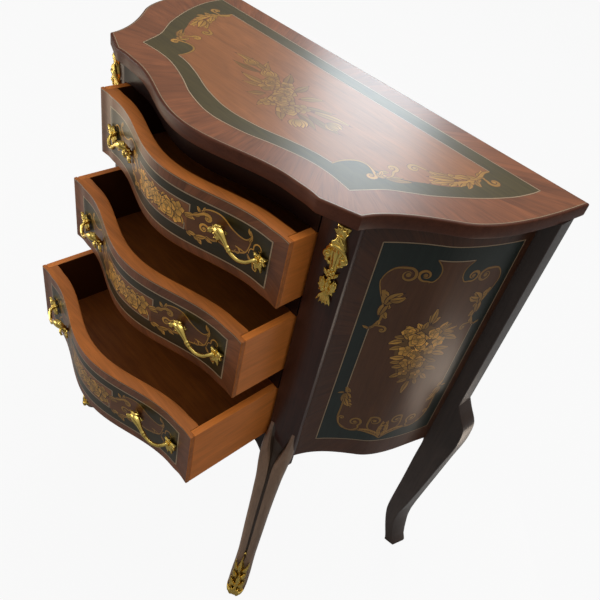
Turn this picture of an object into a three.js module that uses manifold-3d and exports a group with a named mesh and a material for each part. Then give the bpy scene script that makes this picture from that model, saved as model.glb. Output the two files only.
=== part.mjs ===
// A small rococo commode chest on four cabriole legs.
// Three bow-fronted drawers slide on runners in a case of stiles, rails and swept sides,
// and each stands drawn out further than the one above it.
// Millimetres. X runs across the front, Y from front to back and Z up from the floor.

import * as THREE from 'three';
import { mergeVertices } from 'three/addons/utils/BufferGeometryUtils.js';
import Module from 'manifold-3d';

const wasm = await Module();
wasm.setup();

// Clearances
const seat = 0.3; // between pieces that are glued, pinned or laid on each other
const reveal = 1.5; // above and below a drawer front
const sideClearance = 2.5; // between a drawer and the opening beside it
const overrun = 40; // how far a cutting solid runs past what it cuts

// Case
const height = 790; // floor to the top face
const caseDepth = 277.5; // front plane of the stiles to the back of the rear posts
const openingHalfWidth = 196; // centre line to a stile
const frontBow = 36; // how far the drawer fronts swell in the middle
const frontHollow = 1.2; // the slight hollow beside each stile
const bowReachShare = 0.816; // of the opening that the swell takes up

// Top board
const boardThickness = 18;
const boardHalfWidth = 362.5; // at the back
const boardBow = 37.2;
const boardOverhang = 12.3; // in front of the drawer fronts
const boardCornerOverhang = 5.5; // in front of the stile's outer arris
const boardBackOverhang = 14.5;
const boardRounding = 2;
const sidePullShares = { front: [0.06, 0.136], middle: [0.525, 0.33], rear: [0.864, 0.471] };

// Rails across the front
const topRailHeight = 30.7;
const upperDividerHeight = 28.7;
const lowerDividerHeight = 35;
const bottomRailHeight = 35.2;
const railDepth = 55; // stile front to the rails' back
const apronDrop = 16; // how far the bottom rail dips beside a leg
const apronDipShare = 0.84; // of the half width where the dip starts

// Drawers
const topDrawerHeight = 98;
const middleDrawerHeight = 102.7;
const bottomDrawerHeight = 104.7;
const topDrawerPull = 38.2;
const middleDrawerPull = 84.1;
const bottomDrawerPull = 143.8;
const drawerDepth = 225; // closed front plane to the back of the drawer
const frontThickness = 19;
const frontLap = 6; // wood left in front of the drawer side's joint
const drawerSideThickness = 10;
const drawerBackThickness = 8;
const drawerBackDrop = 4; // the back stands lower than the sides
const drawerBottomThickness = 6;
const drawerBottomRise = 8; // edge of the sides to the underside of the bottom
const grooveDepth = 4;

// Front corners: a canted stile that runs down into the leg
const stileWidth = 46.5;
const stileCant = 12; // how far back the outer arris lies
const stileReturn = 7;
const stileTaper = 11.5;
const stileDepth = 30;
const stileChamfer = 3;

// Front legs, turned outward from the front plane
const legTurn = THREE.MathUtils.degToRad(30.5);
const kneeRise = 72; // case bottom to the top of the knee
const kneeTwistShare = 0.25; // of the leg, over which it turns from the stile's face outward
const legReach = 70; // stile face to the toe
const legWidth = 50;
// Up the leg: height as a share of the knee's, front and back as shares of the reach, width and
// groove width as shares of the leg's width, and groove depth as a share of the reach
const legStationShares = [
  [0.0, 0.98, 0.52, 0.6, 0.03, 0.0],
  [0.02, 1.0, 0.5, 0.65, 0.03, 0.0],
  [0.05, 0.97, 0.46, 0.67, 0.03, 0.0],
  [0.1, 0.885, 0.38, 0.66, 0.03, 0.0],
  [0.15, 0.81, 0.31, 0.63, 0.03, 0.0],
  [0.212, 0.725, 0.25, 0.61, 0.03, 0.0],
  [0.23, 0.705, 0.24, 0.61, 0.032, 0.036],
  [0.2675, 0.67, 0.22, 0.62, 0.035, 0.04],
  [0.375, 0.625, 0.215, 0.65, 0.04, 0.045],
  [0.45, 0.605, 0.2, 0.67, 0.042, 0.045],
  [0.5325, 0.585, 0.135, 0.69, 0.044, 0.045],
  [0.625, 0.54, 0.03, 0.73, 0.046, 0.045],
  [0.6875, 0.505, -0.09, 0.77, 0.046, 0.045],
  [0.75, 0.445, -0.195, 0.82, 0.048, 0.045],
  [0.8, 0.372, -0.257, 0.9, 0.055, 0.062],
  [0.8375, 0.292, -0.292, 0.96, 0.09, 0.133],
  [0.8625, 0.239, -0.31, 1.0, 0.15, 0.186],
  [0.8875, 0.195, -0.31, 1.01, 0.21, 0.177],
  [0.925, 0.115, -0.31, 1.0, 0.28, 0.124],
  [0.9625, 0.053, -0.31, 0.98, 0.32, 0.058],
  [1.0, 0.007, -0.31, 0.96, 0.34, 0.014],
];

// Half the leg's section from the groove round to the back. Sideways: share of the groove's half
// width, share of the leg's half width. Outward: share of the groove's depth, share of the depth.
const legSectionShares = [
  [0.7, 0, 1, 0], [1, 0, 0.2, 0], [0.5, 0.5, 0, 0], [0, 0.88, 0, 0.12],
  [0, 1, 0, 0.38], [0, 0.93, 0, 0.75], [0, 0.6, 0, 0.96],
];

// Gilt mounts of the front corners
const sabotThickness = 1.8;
const sabotHeight = 87;
const sabotHalfWidth = 14;
const sabotBackShare = 0.62; // of the leg's reach, behind which the foot is left bare
const sabotLeafShares = [
  [0.62, -0.1], [0.9, 0.05], [1.0, 0.2], [0.92, 0.4], [0.7, 0.52], [0.74, 0.62],
  [0.42, 0.76], [0.2, 0.9], [0.0, 1.0],
];
const cornerMountDrop = 9; // board underside to the top of the mount
const cornerMountLength = 111;
const cornerMountShift = 4.5; // outward from the middle of the face
const cornerMountHalfWidth = 13.5;
const cornerMountRelief = 8;
// Height from the bottom, half width and relief of the mount
const cornerMountShares = [
  [0.0, 0.3, 0.38], [0.034, 0.63, 0.6], [0.132, 0.52, 0.56], [0.188, 0.26, 0.44],
  [0.214, 0.66, 0.56], [0.265, 0.93, 0.69], [0.33, 0.74, 0.62], [0.38, 0.52, 0.6],
  [0.444, 0.44, 0.56], [0.496, 0.37, 0.5], [0.538, 0.82, 0.62], [0.61, 0.96, 0.94],
  [0.675, 1.0, 1.0], [0.752, 0.89, 0.75], [0.826, 0.67, 0.62], [0.872, 0.41, 0.5],
  [0.915, 0.67, 0.69], [1.0, 0.6, 0.55],
];

// Sides
const panelInset = 20; // behind the edge of the top board
const panelThickness = 16;
const panelDrop = 2.5; // below the case bottom
const panelDip = 9; // how far the lower edge dips beside a leg
const panelDipLength = 56;

// Rear corners: a post that is sawn out into the leg
const postInset = 3.2; // behind the edge of the top board
const postWidth = 32.3;
const postDepth = 33.5;
const rearKneeTop = 425;
const rearSweep = 26; // how far the rear foot stands outside the post
// Sideways place and height along the leg's outer and inner edges
const rearOuterShares = [
  [0.0, 1.0], [0.4, 0.962], [0.86, 0.925], [1.04, 0.892], [1.1, 0.824], [1.03, 0.758],
  [0.9, 0.682], [0.61, 0.47], [0.33, 0.26], [0.33, 0.18], [0.42, 0.136], [0.74, 0.04], [1.08, 0.0],
];
const rearInnerShares = [
  [-0.03, 0.0], [-0.03, 0.019], [-0.5, 0.096], [-0.86, 0.17], [-0.99, 0.245], [-0.97, 0.44],
  [-0.98, 0.61], [-0.96, 0.718], [-1.12, 0.75],
];

// Back
const backPanelThickness = 6;
const backPanelSetback = 2; // in front of the posts' back
const backRailThickness = 20;
const backTopRailHeight = 30;

// Runners and guides that carry the drawers
const runnerThickness = 18;
const runnerLap = 21.5; // how far a runner reaches under the drawer side
const guideHeight = 12;
const guideThickness = 17;
const guideClearance = 1.5;
const stopHeight = 6;
const stopDepth = 12;
const stopLength = 30;

// Handles
const handlePlaceShare = 0.6556; // of the opening's half width, to the middle of a handle
const handleHalfSpan = 27.5; // middle to a post
const handleRise = 7; // posts above the drawer's mid height
const handleSag = 16; // posts to the lowest point of the bail
const handleReach = 18; // how far the bail stands out from the front
const bailRadius = 3.6;
const leafLength = 17;
const leafWidth = 7;
const leafThickness = 5;
const leafTurns = [115, 30, -15, -60, -105].map(THREE.MathUtils.degToRad);
const bailShares = [
  [-1, -0.1, 0], [-1, 0.45, 0], [-0.8, 0.84, -0.2], [-0.42, 1, -0.58], [0, 1, -0.87],
  [0.38, 0.98, -1], [0.72, 0.84, -0.8], [0.94, 0.5, -0.42], [1, -0.1, -0.2],
];

// Steps along curves
const frontSteps = 24;
const sideSteps = 10;
const rearLegSteps = 26;
const dipSteps = 6;
const bailSteps = 14;
const bailSides = 8;
const mountSides = 6;

// Heights worked out from the top down
const boardUnderside = height - boardThickness;
const drawers = [
  { name: 'top', height: topDrawerHeight, pull: topDrawerPull, railHeight: upperDividerHeight },
  { name: 'middle', height: middleDrawerHeight, pull: middleDrawerPull, railHeight: lowerDividerHeight },
  { name: 'bottom', height: bottomDrawerHeight, pull: bottomDrawerPull, railHeight: bottomRailHeight },
];
let level = boardUnderside - topRailHeight;
for (const drawer of drawers) {
  drawer.bottom = level - reveal - drawer.height;
  drawer.railTop = drawer.bottom - reveal;
  level = drawer.railTop - drawer.railHeight;
}
const topRailBottom = boardUnderside - topRailHeight;
const caseBottom = level;
const kneeTop = caseBottom + kneeRise;
const underBoard = boardUnderside - seat;

// Places worked out across and from front to back
const upward = new THREE.Vector3(0, 0, 1);
const stileOuter = openingHalfWidth + stileWidth;
const postOuter = boardHalfWidth - postInset;
const postInner = postOuter - postWidth;
const postFront = caseDepth - postDepth;
const boardBack = caseDepth + boardBackOverhang;
const backPanelBack = caseDepth - backPanelSetback;
const backPanelFront = backPanelBack - backPanelThickness;
const backRailBack = backPanelFront - seat;
const backRailFront = backRailBack - backRailThickness;
const drawerHalfWidth = openingHalfWidth - sideClearance;
const drawerSideInner = drawerHalfWidth - drawerSideThickness;
const runnerInner = drawerHalfWidth - runnerLap;
const guideInner = drawerHalfWidth + guideClearance;
const guideOuter = guideInner + guideThickness;
const stileFaceCentre = [openingHalfWidth + stileWidth / 2, stileCant / 2];
const stileFaceTurn = Math.atan2(stileCant, stileWidth);

// Materials
const material = (color, roughness, metalness = 0) => (
  new THREE.MeshStandardMaterial({ color, roughness, metalness })
);
const finishes = {
  marquetry: material('#5a3a26', 0.3),
  carcase: material('#4a2f22', 0.35),
  blackened: material('#3a302b', 0.3),
  drawerWood: material('#8a4f28', 0.5),
  plainWood: material('#6b4a30', 0.7),
  gilt: material('#c9a24a', 0.3, 1),
};

// Makes a geometry one closed skin with its faces pointing out
function closed(geometry) {
  const bare = geometry.clone();
  bare.deleteAttribute('normal');
  bare.deleteAttribute('uv');
  const skin = mergeVertices(bare);
  const points = skin.attributes.position;
  const corners = skin.index.array;
  const [a, b, c] = [new THREE.Vector3(), new THREE.Vector3(), new THREE.Vector3()];
  let volume = 0;
  for (let i = 0; i < corners.length; i += 3) {
    a.fromBufferAttribute(points, corners[i]);
    b.fromBufferAttribute(points, corners[i + 1]);
    c.fromBufferAttribute(points, corners[i + 2]);
    volume += a.dot(b.cross(c));
  }
  if (volume < 0) {
    for (let i = 0; i < corners.length; i += 3) {
      [corners[i], corners[i + 1]] = [corners[i + 1], corners[i]];
    }
  }
  return skin;
}

// A closed geometry as a solid that can be joined and cut
function solid(geometry) {
  const skin = closed(geometry);
  return new wasm.Manifold(new wasm.Mesh({
    numProp: 3,
    vertProperties: skin.attributes.position.array,
    triVerts: Uint32Array.from(skin.index.array),
  }));
}

function geometryOf(body) {
  const mesh = body.getMesh();
  const geometry = new THREE.BufferGeometry();
  geometry.setAttribute('position', new THREE.BufferAttribute(mesh.vertProperties, 3));
  geometry.setIndex(new THREE.BufferAttribute(mesh.triVerts, 1));
  return geometry;
}

const mirrored = (geometry) => geometry.clone().scale(-1, 1, 1);

const shapeOf = (points) => new THREE.Shape(points.map(([x, y]) => new THREE.Vector2(x, y)));

// A solid with a plan outline, between two heights
function plank(points, low, high) {
  const options = { depth: high - low, bevelEnabled: false };
  return new THREE.ExtrudeGeometry(shapeOf(points), options).translate(0, 0, low);
}

// A solid with an outline seen from the front, in X and Z, between two depths
function slab(points, front, back) {
  const options = { depth: back - front, bevelEnabled: false };
  const geometry = new THREE.ExtrudeGeometry(shapeOf(points), options);
  return geometry.rotateX(Math.PI / 2).translate(0, back, 0);
}

// A straight bar between two corners
function bar([left, front, low], [right, back, high]) {
  const geometry = new THREE.BoxGeometry(right - left, back - front, high - low);
  return geometry.translate((left + right) / 2, (front + back) / 2, (low + high) / 2);
}

// A solid through level rings of points that run anticlockwise, the lowest first
function loft(rings) {
  const count = rings[0].length;
  const corners = [];
  for (let ring = 0; ring < rings.length - 1; ring += 1) {
    for (let side = 0; side < count; side += 1) {
      const here = ring * count + side;
      const next = ring * count + (side + 1) % count;
      corners.push(here, next, here + count, next, next + count, here + count);
    }
  }
  const flat = (ring) => ring.map((point) => new THREE.Vector2(point.x, point.y));
  const cap = (ring) => THREE.ShapeUtils.triangulateShape(flat(ring), []);
  const last = (rings.length - 1) * count;
  for (const [a, b, c] of cap(rings[0])) corners.push(a, c, b);
  for (const [a, b, c] of cap(rings[rings.length - 1])) corners.push(last + a, last + b, last + c);
  const geometry = new THREE.BufferGeometry().setFromPoints(rings.flat());
  geometry.setIndex(corners);
  return geometry;
}

// Even places from one value to another
const spread = (from, to, steps) => (
  Array.from({ length: steps + 1 }, (_, step) => from + (to - from) * step / steps)
);

// Both halves of an outline, given the right half from front to back
function bothHalves(right) {
  const left = right.filter(([x]) => x > 0).map(([x, y]) => [-x, y]);
  return [...right, ...left.reverse()];
}

// Depth of the bowed front at a place across it
function frontCurve(x, bow = frontBow) {
  const reach = openingHalfWidth * bowReachShare;
  const across = Math.abs(x);
  if (across < reach) return -bow * (1 + Math.cos(Math.PI * across / reach)) / 2;
  const share = (across - reach) / (openingHalfWidth - reach);
  return frontHollow * Math.sin(Math.PI * share) ** 2;
}

// The bowed line from the middle outward, through the same stations for every piece
function frontLine(halfWidth, back = 0, bow = frontBow) {
  const stations = spread(0, openingHalfWidth, frontSteps / 2).filter((x) => x < halfWidth);
  return [...stations, halfWidth].map((x) => [x, frontCurve(x, bow) + back]);
}

// The board's swept side, as two curves that meet in the middle
const sideFront = new THREE.Vector2(stileOuter, stileCant - boardCornerOverhang);
const sideRear = new THREE.Vector2(boardHalfWidth, boardBack);
const sidePlace = ([across, along]) => new THREE.Vector2(
  THREE.MathUtils.lerp(sideFront.x, sideRear.x, across),
  THREE.MathUtils.lerp(sideFront.y, sideRear.y, along),
);
const sideMiddle = sidePlace(sidePullShares.middle);
const sideCurves = [
  new THREE.QuadraticBezierCurve(sideFront, sidePlace(sidePullShares.front), sideMiddle),
  new THREE.QuadraticBezierCurve(sideMiddle, sidePlace(sidePullShares.rear), sideRear),
];

// Points along the swept side, moved inward
function sideLine(inset) {
  return sideCurves.flatMap((curve) => spread(0, 1, sideSteps).map((share) => {
    const point = curve.getPoint(share);
    const tangent = curve.getTangent(share);
    return [point.x - inset * tangent.y, point.y + inset * tangent.x];
  }));
}

// How far out the inset side lies at a given depth
function sideAt(line, y) {
  const next = line.findIndex((point) => point[1] > y);
  const [x0, y0] = line[next - 1];
  const [x1, y1] = line[next];
  return THREE.MathUtils.mapLinear(y, y0, y1, x0, x1);
}

// Top board with softened arrises
function topBoard() {
  const front = frontLine(openingHalfWidth, -boardOverhang, boardBow);
  const side = sideLine(0).filter((point, index) => index !== sideSteps);
  const geometry = new THREE.ExtrudeGeometry(shapeOf(bothHalves([...front, ...side])), {
    depth: boardThickness - 2 * boardRounding,
    bevelThickness: boardRounding,
    bevelSize: boardRounding,
    bevelOffset: -boardRounding,
    bevelSegments: 2,
  });
  return geometry.translate(0, 0, boardUnderside + boardRounding);
}

// Rail across the front, between the stiles
const railHalfWidth = openingHalfWidth - seat;
const railOutline = bothHalves([...frontLine(railHalfWidth), [railHalfWidth, railDepth]]);

function bottomRail(top) {
  const dipStart = railHalfWidth * apronDipShare;
  const lowerEdge = [0, ...spread(dipStart, railHalfWidth, dipSteps)].map((x) => {
    const share = Math.max(0, x - dipStart) / (railHalfWidth - dipStart);
    return [x, caseBottom - apronDrop * share ** 2];
  });
  const outline = bothHalves([...lowerEdge, [railHalfWidth, top + overrun]]);
  const rail = solid(plank(railOutline, caseBottom - apronDrop - overrun, top));
  return geometryOf(rail.intersect(solid(slab(outline, -frontBow - overrun, railDepth + overrun))));
}

// Front leg below the stile, about the middle of the stile's face
function legLoft(grow, topShare = 1) {
  const stations = legStationShares.filter(([rise]) => rise <= topShare);
  return loft(stations.map(([rise, frontShare, backShare, widthShare, grooveShare, deepShare]) => {
    const front = frontShare * legReach + grow;
    const back = backShare * legReach - grow;
    const half = widthShare * legWidth / 2 + grow;
    const groove = grooveShare * legWidth;
    const deep = deepShare * legReach;
    const side = legSectionShares.map(([grooveAcross, across, grooveDown, down]) => [
      grooveAcross * groove + across * half,
      front - grooveDown * deep - down * (front - back),
    ]);
    const otherSide = side.map(([x, out]) => [-x, out]).reverse();
    const ring = [[0, front - deep], ...side, [0, back], ...otherSide];
    const twist = THREE.MathUtils.smoothstep(1 - rise, 0, kneeTwistShare);
    const turn = THREE.MathUtils.lerp(stileFaceTurn, legTurn, twist);
    return ring.map(([x, out]) => (
      new THREE.Vector3(x, -out, rise * kneeTop).applyAxisAngle(upward, turn)
    ));
  }));
}

const onStile = (geometry) => geometry.translate(stileFaceCentre[0], stileFaceCentre[1], 0);

const stileOutline = [
  [openingHalfWidth, stileChamfer],
  [openingHalfWidth + stileChamfer, stileChamfer * stileCant / stileWidth],
  [stileOuter, stileCant],
  [stileOuter, stileCant + stileReturn],
  [stileOuter - stileTaper, stileDepth],
  [openingHalfWidth, stileDepth],
];

function frontLeg() {
  const opening = bar(
    [0, -legReach - overrun, caseBottom - apronDrop - seat],
    [openingHalfWidth, caseDepth, height],
  );
  const behind = bar([0, stileDepth, caseBottom - seat], [postOuter, caseDepth, height]);
  const leg = solid(onStile(legLoft(0))).subtract(solid(opening)).subtract(solid(behind));
  return geometryOf(leg.add(solid(plank(stileOutline, caseBottom, underBoard))));
}

// Gilt leaf over the front of the foot
function sabot() {
  const topShare = legStationShares.find(([rise]) => rise * kneeTop > sabotHeight)[0];
  const shell = solid(legLoft(seat + sabotThickness, topShare)).subtract(solid(legLoft(seat, topShare)));
  const leaf = bothHalves(sabotLeafShares.map(([x, z]) => [x * sabotHalfWidth, z * sabotHeight]));
  const front = slab(leaf, -legReach - overrun, -legReach * sabotBackShare).rotateZ(legTurn);
  return onStile(geometryOf(shell.intersect(solid(front))));
}

// Gilt mount on the stile's canted face
function cornerMount() {
  const bottom = boardUnderside - cornerMountDrop - cornerMountLength;
  const rings = cornerMountShares.map(([rise, widthShare, reliefShare]) => (
    spread(Math.PI, 0, mountSides).map((angle) => new THREE.Vector3(
      cornerMountShift + widthShare * cornerMountHalfWidth * Math.cos(angle),
      -seat - reliefShare * cornerMountRelief * Math.sin(angle),
      bottom + rise * cornerMountLength,
    ))
  ));
  return onStile(loft(rings).rotateZ(stileFaceTurn));
}

// Swept side between the stile and the rear post
function sidePanel() {
  const outerLine = sideLine(panelInset);
  const innerLine = sideLine(panelInset + panelThickness);
  const depths = spread(stileDepth + seat, postFront - seat, 2 * sideSteps);
  const outer = depths.map((y) => [sideAt(outerLine, y), y]);
  const inner = depths.map((y) => [sideAt(innerLine, y), y]);
  const panel = solid(plank([...outer, ...inner.reverse()], caseBottom - overrun, underBoard));

  const [front, back] = [stileDepth, postFront];
  const frontDip = spread(front, front + panelDipLength, dipSteps);
  const backDip = spread(back - panelDipLength, back, dipSteps);
  const lowerEdge = [...frontDip, ...backDip].map((y) => {
    const share = Math.max(0, 1 - Math.min(y - front, back - y) / panelDipLength);
    return [y, caseBottom - panelDrop - panelDip * share ** 2];
  });
  const outline = [...lowerEdge, [back, height], [front, height]];
  const profile = slab(outline, -postOuter, 0).rotateZ(Math.PI / 2);
  return geometryOf(panel.intersect(solid(profile)));
}

// Rear post sawn out into the leg
function rearLeg() {
  const edge = (shares) => {
    const points = shares.map(([x, z]) => new THREE.Vector2(postOuter + x * rearSweep, z * rearKneeTop));
    return new THREE.SplineCurve(points).getPoints(rearLegSteps).map((point) => [point.x, point.y]);
  };
  const outline = [
    [postInner, underBoard],
    [postOuter, underBoard],
    ...edge(rearOuterShares),
    ...edge(rearInnerShares),
    [postInner, caseBottom],
  ];
  return slab(outline, postFront, caseDepth);
}

// Cast pull, in its own frame: X along the handle, Y into the drawer front and Z up
function handleForm() {
  const places = bailShares.map(([along, out, up]) => (
    new THREE.Vector3(along * handleHalfSpan, -out * handleReach, handleRise + up * handleSag)
  ));
  const section = new THREE.Shape();
  spread(0, 2 * Math.PI, bailSides).slice(0, bailSides).forEach((angle, index) => {
    const point = [bailRadius * Math.cos(angle), bailRadius * Math.sin(angle)];
    if (index === 0) section.moveTo(...point);
    else section.lineTo(...point);
  });
  const path = new THREE.CatmullRomCurve3(places);
  const bail = new THREE.ExtrudeGeometry(section, { steps: bailSteps, extrudePath: path });
  let pull = solid(bail);
  for (const end of [-1, 1]) {
    const post = places[end < 0 ? 0 : places.length - 1];
    for (const turn of leafTurns) {
      const leaf = new THREE.SphereGeometry(1, 8, 4).rotateZ(Math.PI / 2);
      leaf.scale(leafLength / 2, leafThickness, leafWidth / 2).translate(leafLength / 3, 0, 0);
      leaf.rotateY(-turn).scale(end, 1, 1).translate(post.x, 0, post.z);
      pull = pull.add(solid(leaf));
    }
  }
  return geometryOf(pull);
}

// The pull laid against a drawer front at the right or the left
function handle(midHeight) {
  const handlePlace = openingHalfWidth * handlePlaceShare;
  const spanStart = handlePlace - handleHalfSpan;
  const spanEnd = handlePlace + handleHalfSpan;
  const turn = Math.atan2(frontCurve(spanEnd) - frontCurve(spanStart), spanEnd - spanStart);
  const placed = handleForm().rotateZ(turn);
  placed.translate(handlePlace, frontCurve(handlePlace), midHeight);
  const behind = bothHalves([
    ...frontLine(drawerHalfWidth, -seat),
    [drawerHalfWidth, frontThickness + overrun],
  ]);
  return geometryOf(solid(placed).subtract(solid(plank(behind, 0, 2 * midHeight))));
}

// Scene graph
const commode = new THREE.Group();

function place(group, name, geometry, finish) {
  const mesh = new THREE.Mesh(closed(geometry), finish);
  mesh.name = name;
  mesh.geometry.computeVertexNormals();
  group.add(mesh);
}

// The right-hand piece and its mirror image
function placePair(group, name, geometry, finish) {
  place(group, `${name}_right`, geometry, finish);
  place(group, `${name}_left`, mirrored(geometry), finish);
}

const dividerNames = ['divider_rail_upper', 'divider_rail_lower'];
place(commode, 'top_board', topBoard(), finishes.marquetry);
place(commode, 'top_rail', plank(railOutline, topRailBottom, underBoard), finishes.carcase);
dividerNames.forEach((name, index) => {
  const { railTop, railHeight } = drawers[index];
  place(commode, name, plank(railOutline, railTop - railHeight, railTop), finishes.carcase);
});
place(commode, 'bottom_rail', bottomRail(drawers[2].railTop), finishes.carcase);

placePair(commode, 'front_leg', frontLeg(), finishes.blackened);
placePair(commode, 'sabot', sabot(), finishes.gilt);
placePair(commode, 'corner_mount', cornerMount(), finishes.gilt);
placePair(commode, 'side_panel', sidePanel(), finishes.marquetry);
placePair(commode, 'rear_leg', rearLeg(), finishes.blackened);

// A piece that runs from one rear post to the other
function placeBack(name, front, back, low, high) {
  const reach = postInner - seat;
  place(commode, name, bar([-reach, front, low], [reach, back, high]), finishes.plainWood);
}

const backTopRailBottom = boardUnderside - backTopRailHeight;
placeBack('back_panel', backPanelFront, backPanelBack, caseBottom, underBoard);
placeBack('back_rail_top', backRailFront, backRailBack, backTopRailBottom, underBoard);
placeBack('back_rail_bottom', backRailFront, backRailBack, caseBottom, caseBottom + bottomRailHeight);

// Kickers above the top drawer keep it from tipping when it is drawn out
placePair(
  commode,
  'kicker',
  bar([runnerInner, railDepth + seat, topRailBottom], [guideOuter, backRailFront - seat, underBoard]),
  finishes.plainWood,
);

// Each drawer with its runners, guides and stop
for (const drawer of drawers) {
  const { name, height: tall, pull, bottom, railTop } = drawer;
  const runnerTop = bottom - seat;
  const runnerFront = railDepth + seat;
  const runnerBack = (drawer === drawers[2] ? backRailFront : backPanelFront) - seat;
  const guideBottom = runnerTop + seat;
  placePair(
    commode,
    `runner_${name}`,
    bar([runnerInner, runnerFront, runnerTop - runnerThickness], [guideOuter, runnerBack, runnerTop]),
    finishes.plainWood,
  );
  placePair(
    commode,
    `guide_${name}`,
    bar([guideInner, runnerFront, guideBottom], [guideOuter, runnerBack, guideBottom + guideHeight]),
    finishes.plainWood,
  );
  const stopFront = frontCurve(stopLength / 2) + frontThickness + seat;
  place(
    commode,
    `stop_${name}`,
    bar(
      [-stopLength / 2, stopFront, railTop + seat],
      [stopLength / 2, stopFront + stopDepth, railTop + seat + stopHeight],
    ),
    finishes.plainWood,
  );

  const box = new THREE.Group();
  box.position.set(0, -pull, bottom);
  commode.add(box);

  const tongue = drawerSideInner - seat;
  const front = bothHalves([
    ...frontLine(drawerHalfWidth),
    [drawerHalfWidth, frontLap],
    [tongue, frontLap],
    ...frontLine(tongue, frontThickness).reverse(),
  ]);
  place(box, `drawer_${name}_front`, plank(front, 0, tall), finishes.marquetry);

  const grooveLow = drawerBottomRise - seat;
  const grooveHigh = drawerBottomRise + drawerBottomThickness + seat;
  const side = [
    [drawerSideInner, 0],
    [drawerHalfWidth, 0],
    [drawerHalfWidth, tall],
    [drawerSideInner, tall],
    [drawerSideInner, grooveHigh],
    [drawerSideInner + grooveDepth, grooveHigh],
    [drawerSideInner + grooveDepth, grooveLow],
    [drawerSideInner, grooveLow],
  ];
  placePair(box, `drawer_${name}_side`, slab(side, frontLap + seat, drawerDepth), finishes.drawerWood);
  const bottomHalfWidth = drawerSideInner + grooveDepth - seat;
  const bottomOutline = bothHalves([
    ...frontLine(bottomHalfWidth, frontThickness + seat),
    [bottomHalfWidth, drawerDepth],
  ]);
  place(
    box,
    `drawer_${name}_bottom`,
    plank(bottomOutline, drawerBottomRise, drawerBottomRise + drawerBottomThickness),
    finishes.drawerWood,
  );
  const backFront = drawerDepth - drawerBackThickness;
  place(
    box,
    `drawer_${name}_back`,
    bar([-tongue, backFront, grooveHigh], [tongue, drawerDepth, tall - drawerBackDrop]),
    finishes.drawerWood,
  );
  placePair(box, `handle_${name}`, handle(tall / 2), finishes.gilt);
}

// The origin lies on the floor under the middle of the chest
const bounds = new THREE.Box3().setFromObject(commode);
commode.position.y = -(bounds.min.y + bounds.max.y) / 2;

export default commode;
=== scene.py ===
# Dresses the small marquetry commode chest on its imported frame.
# Lengths in the helpers are millimetres, in the frame of the chest.

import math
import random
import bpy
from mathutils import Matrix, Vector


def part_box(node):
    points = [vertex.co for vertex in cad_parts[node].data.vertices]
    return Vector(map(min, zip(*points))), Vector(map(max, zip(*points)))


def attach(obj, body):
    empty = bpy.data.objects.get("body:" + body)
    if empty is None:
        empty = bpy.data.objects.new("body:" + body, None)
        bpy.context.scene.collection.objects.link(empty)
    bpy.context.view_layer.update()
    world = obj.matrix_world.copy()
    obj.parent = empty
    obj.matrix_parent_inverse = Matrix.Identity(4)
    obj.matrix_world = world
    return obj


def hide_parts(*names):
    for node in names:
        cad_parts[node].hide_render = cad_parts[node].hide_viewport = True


bl_info = {
    "name": "Marquetry commode chest",
    "version": (1, 0, 0),
    "blender": (4, 5, 0),
    "location": "3D View > Sidebar > Commode",
    "description": "Veneers, gilt mounts and cabinet work of a small three-drawer commode",
    "category": "Object",
}

import bmesh
import bpy
from bpy.props import FloatProperty, FloatVectorProperty, IntProperty, PointerProperty
from mathutils import Matrix, Vector, geometry

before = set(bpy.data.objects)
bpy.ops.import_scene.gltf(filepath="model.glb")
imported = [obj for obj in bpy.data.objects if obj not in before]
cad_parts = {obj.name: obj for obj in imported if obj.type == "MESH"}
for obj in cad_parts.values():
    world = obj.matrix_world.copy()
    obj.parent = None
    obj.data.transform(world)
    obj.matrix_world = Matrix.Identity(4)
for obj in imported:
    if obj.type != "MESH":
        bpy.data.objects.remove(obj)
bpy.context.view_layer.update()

MM = 0.001
DRAWERS = ("top", "middle", "bottom")
SIDES = (("right", 1), ("left", -1))


def node_box(name):
    """Lowest and highest corner of a node in millimetres."""
    low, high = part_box(name)
    return low / MM, high / MM


# The case's own shape, as its solids have it
CASE_DEPTH = 277.5
STILE_WIDTH = 46.5
STILE_CANT = 12.0
FRONT_BOW = 36.0
FRONT_HOLLOW = 1.2
FRONT_GAP = 2.5
BOARD_OVERHANG = 12.3
BOARD_LOW, BOARD_HIGH = node_box("top_board")
STILE_PLANE = node_box("rear_leg_right")[1].y - CASE_DEPTH
CASE_TOP = BOARD_LOW.z
CASE_BOTTOM = node_box("back_panel")[0].z
OPENING_HALF = node_box("top_rail")[1].x + 0.3
FRONT_HALF = OPENING_HALF - FRONT_GAP
BOW_REACH = OPENING_HALF * 0.816
STILE_OUTER = OPENING_HALF + STILE_WIDTH
BOARD_BACK = BOARD_HIGH.y - STILE_PLANE
BOARD_HALF = BOARD_HIGH.x
SIDE_PULLS = ((0.06, 0.136), (0.525, 0.33), (0.864, 0.471))
FRONT_THICK, LAP_THICK, LAP = 19.0, 6.0, 10.3
PANEL_OUTER, PANEL_INNER, PANEL_MIDDLE = 20.0, 36.0, 130.0
PANEL_FOOT, PANEL_FOOT_REACH = 9.0, 56.0
PULL_PLACE, PULL_HALF = OPENING_HALF * 0.6556, 27.5
CORNER_SHIFT, CORNER_DEPTH = 5.5, 0.85
FOOT_SCALE = (1.12, 1.1, 1.09)

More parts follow.
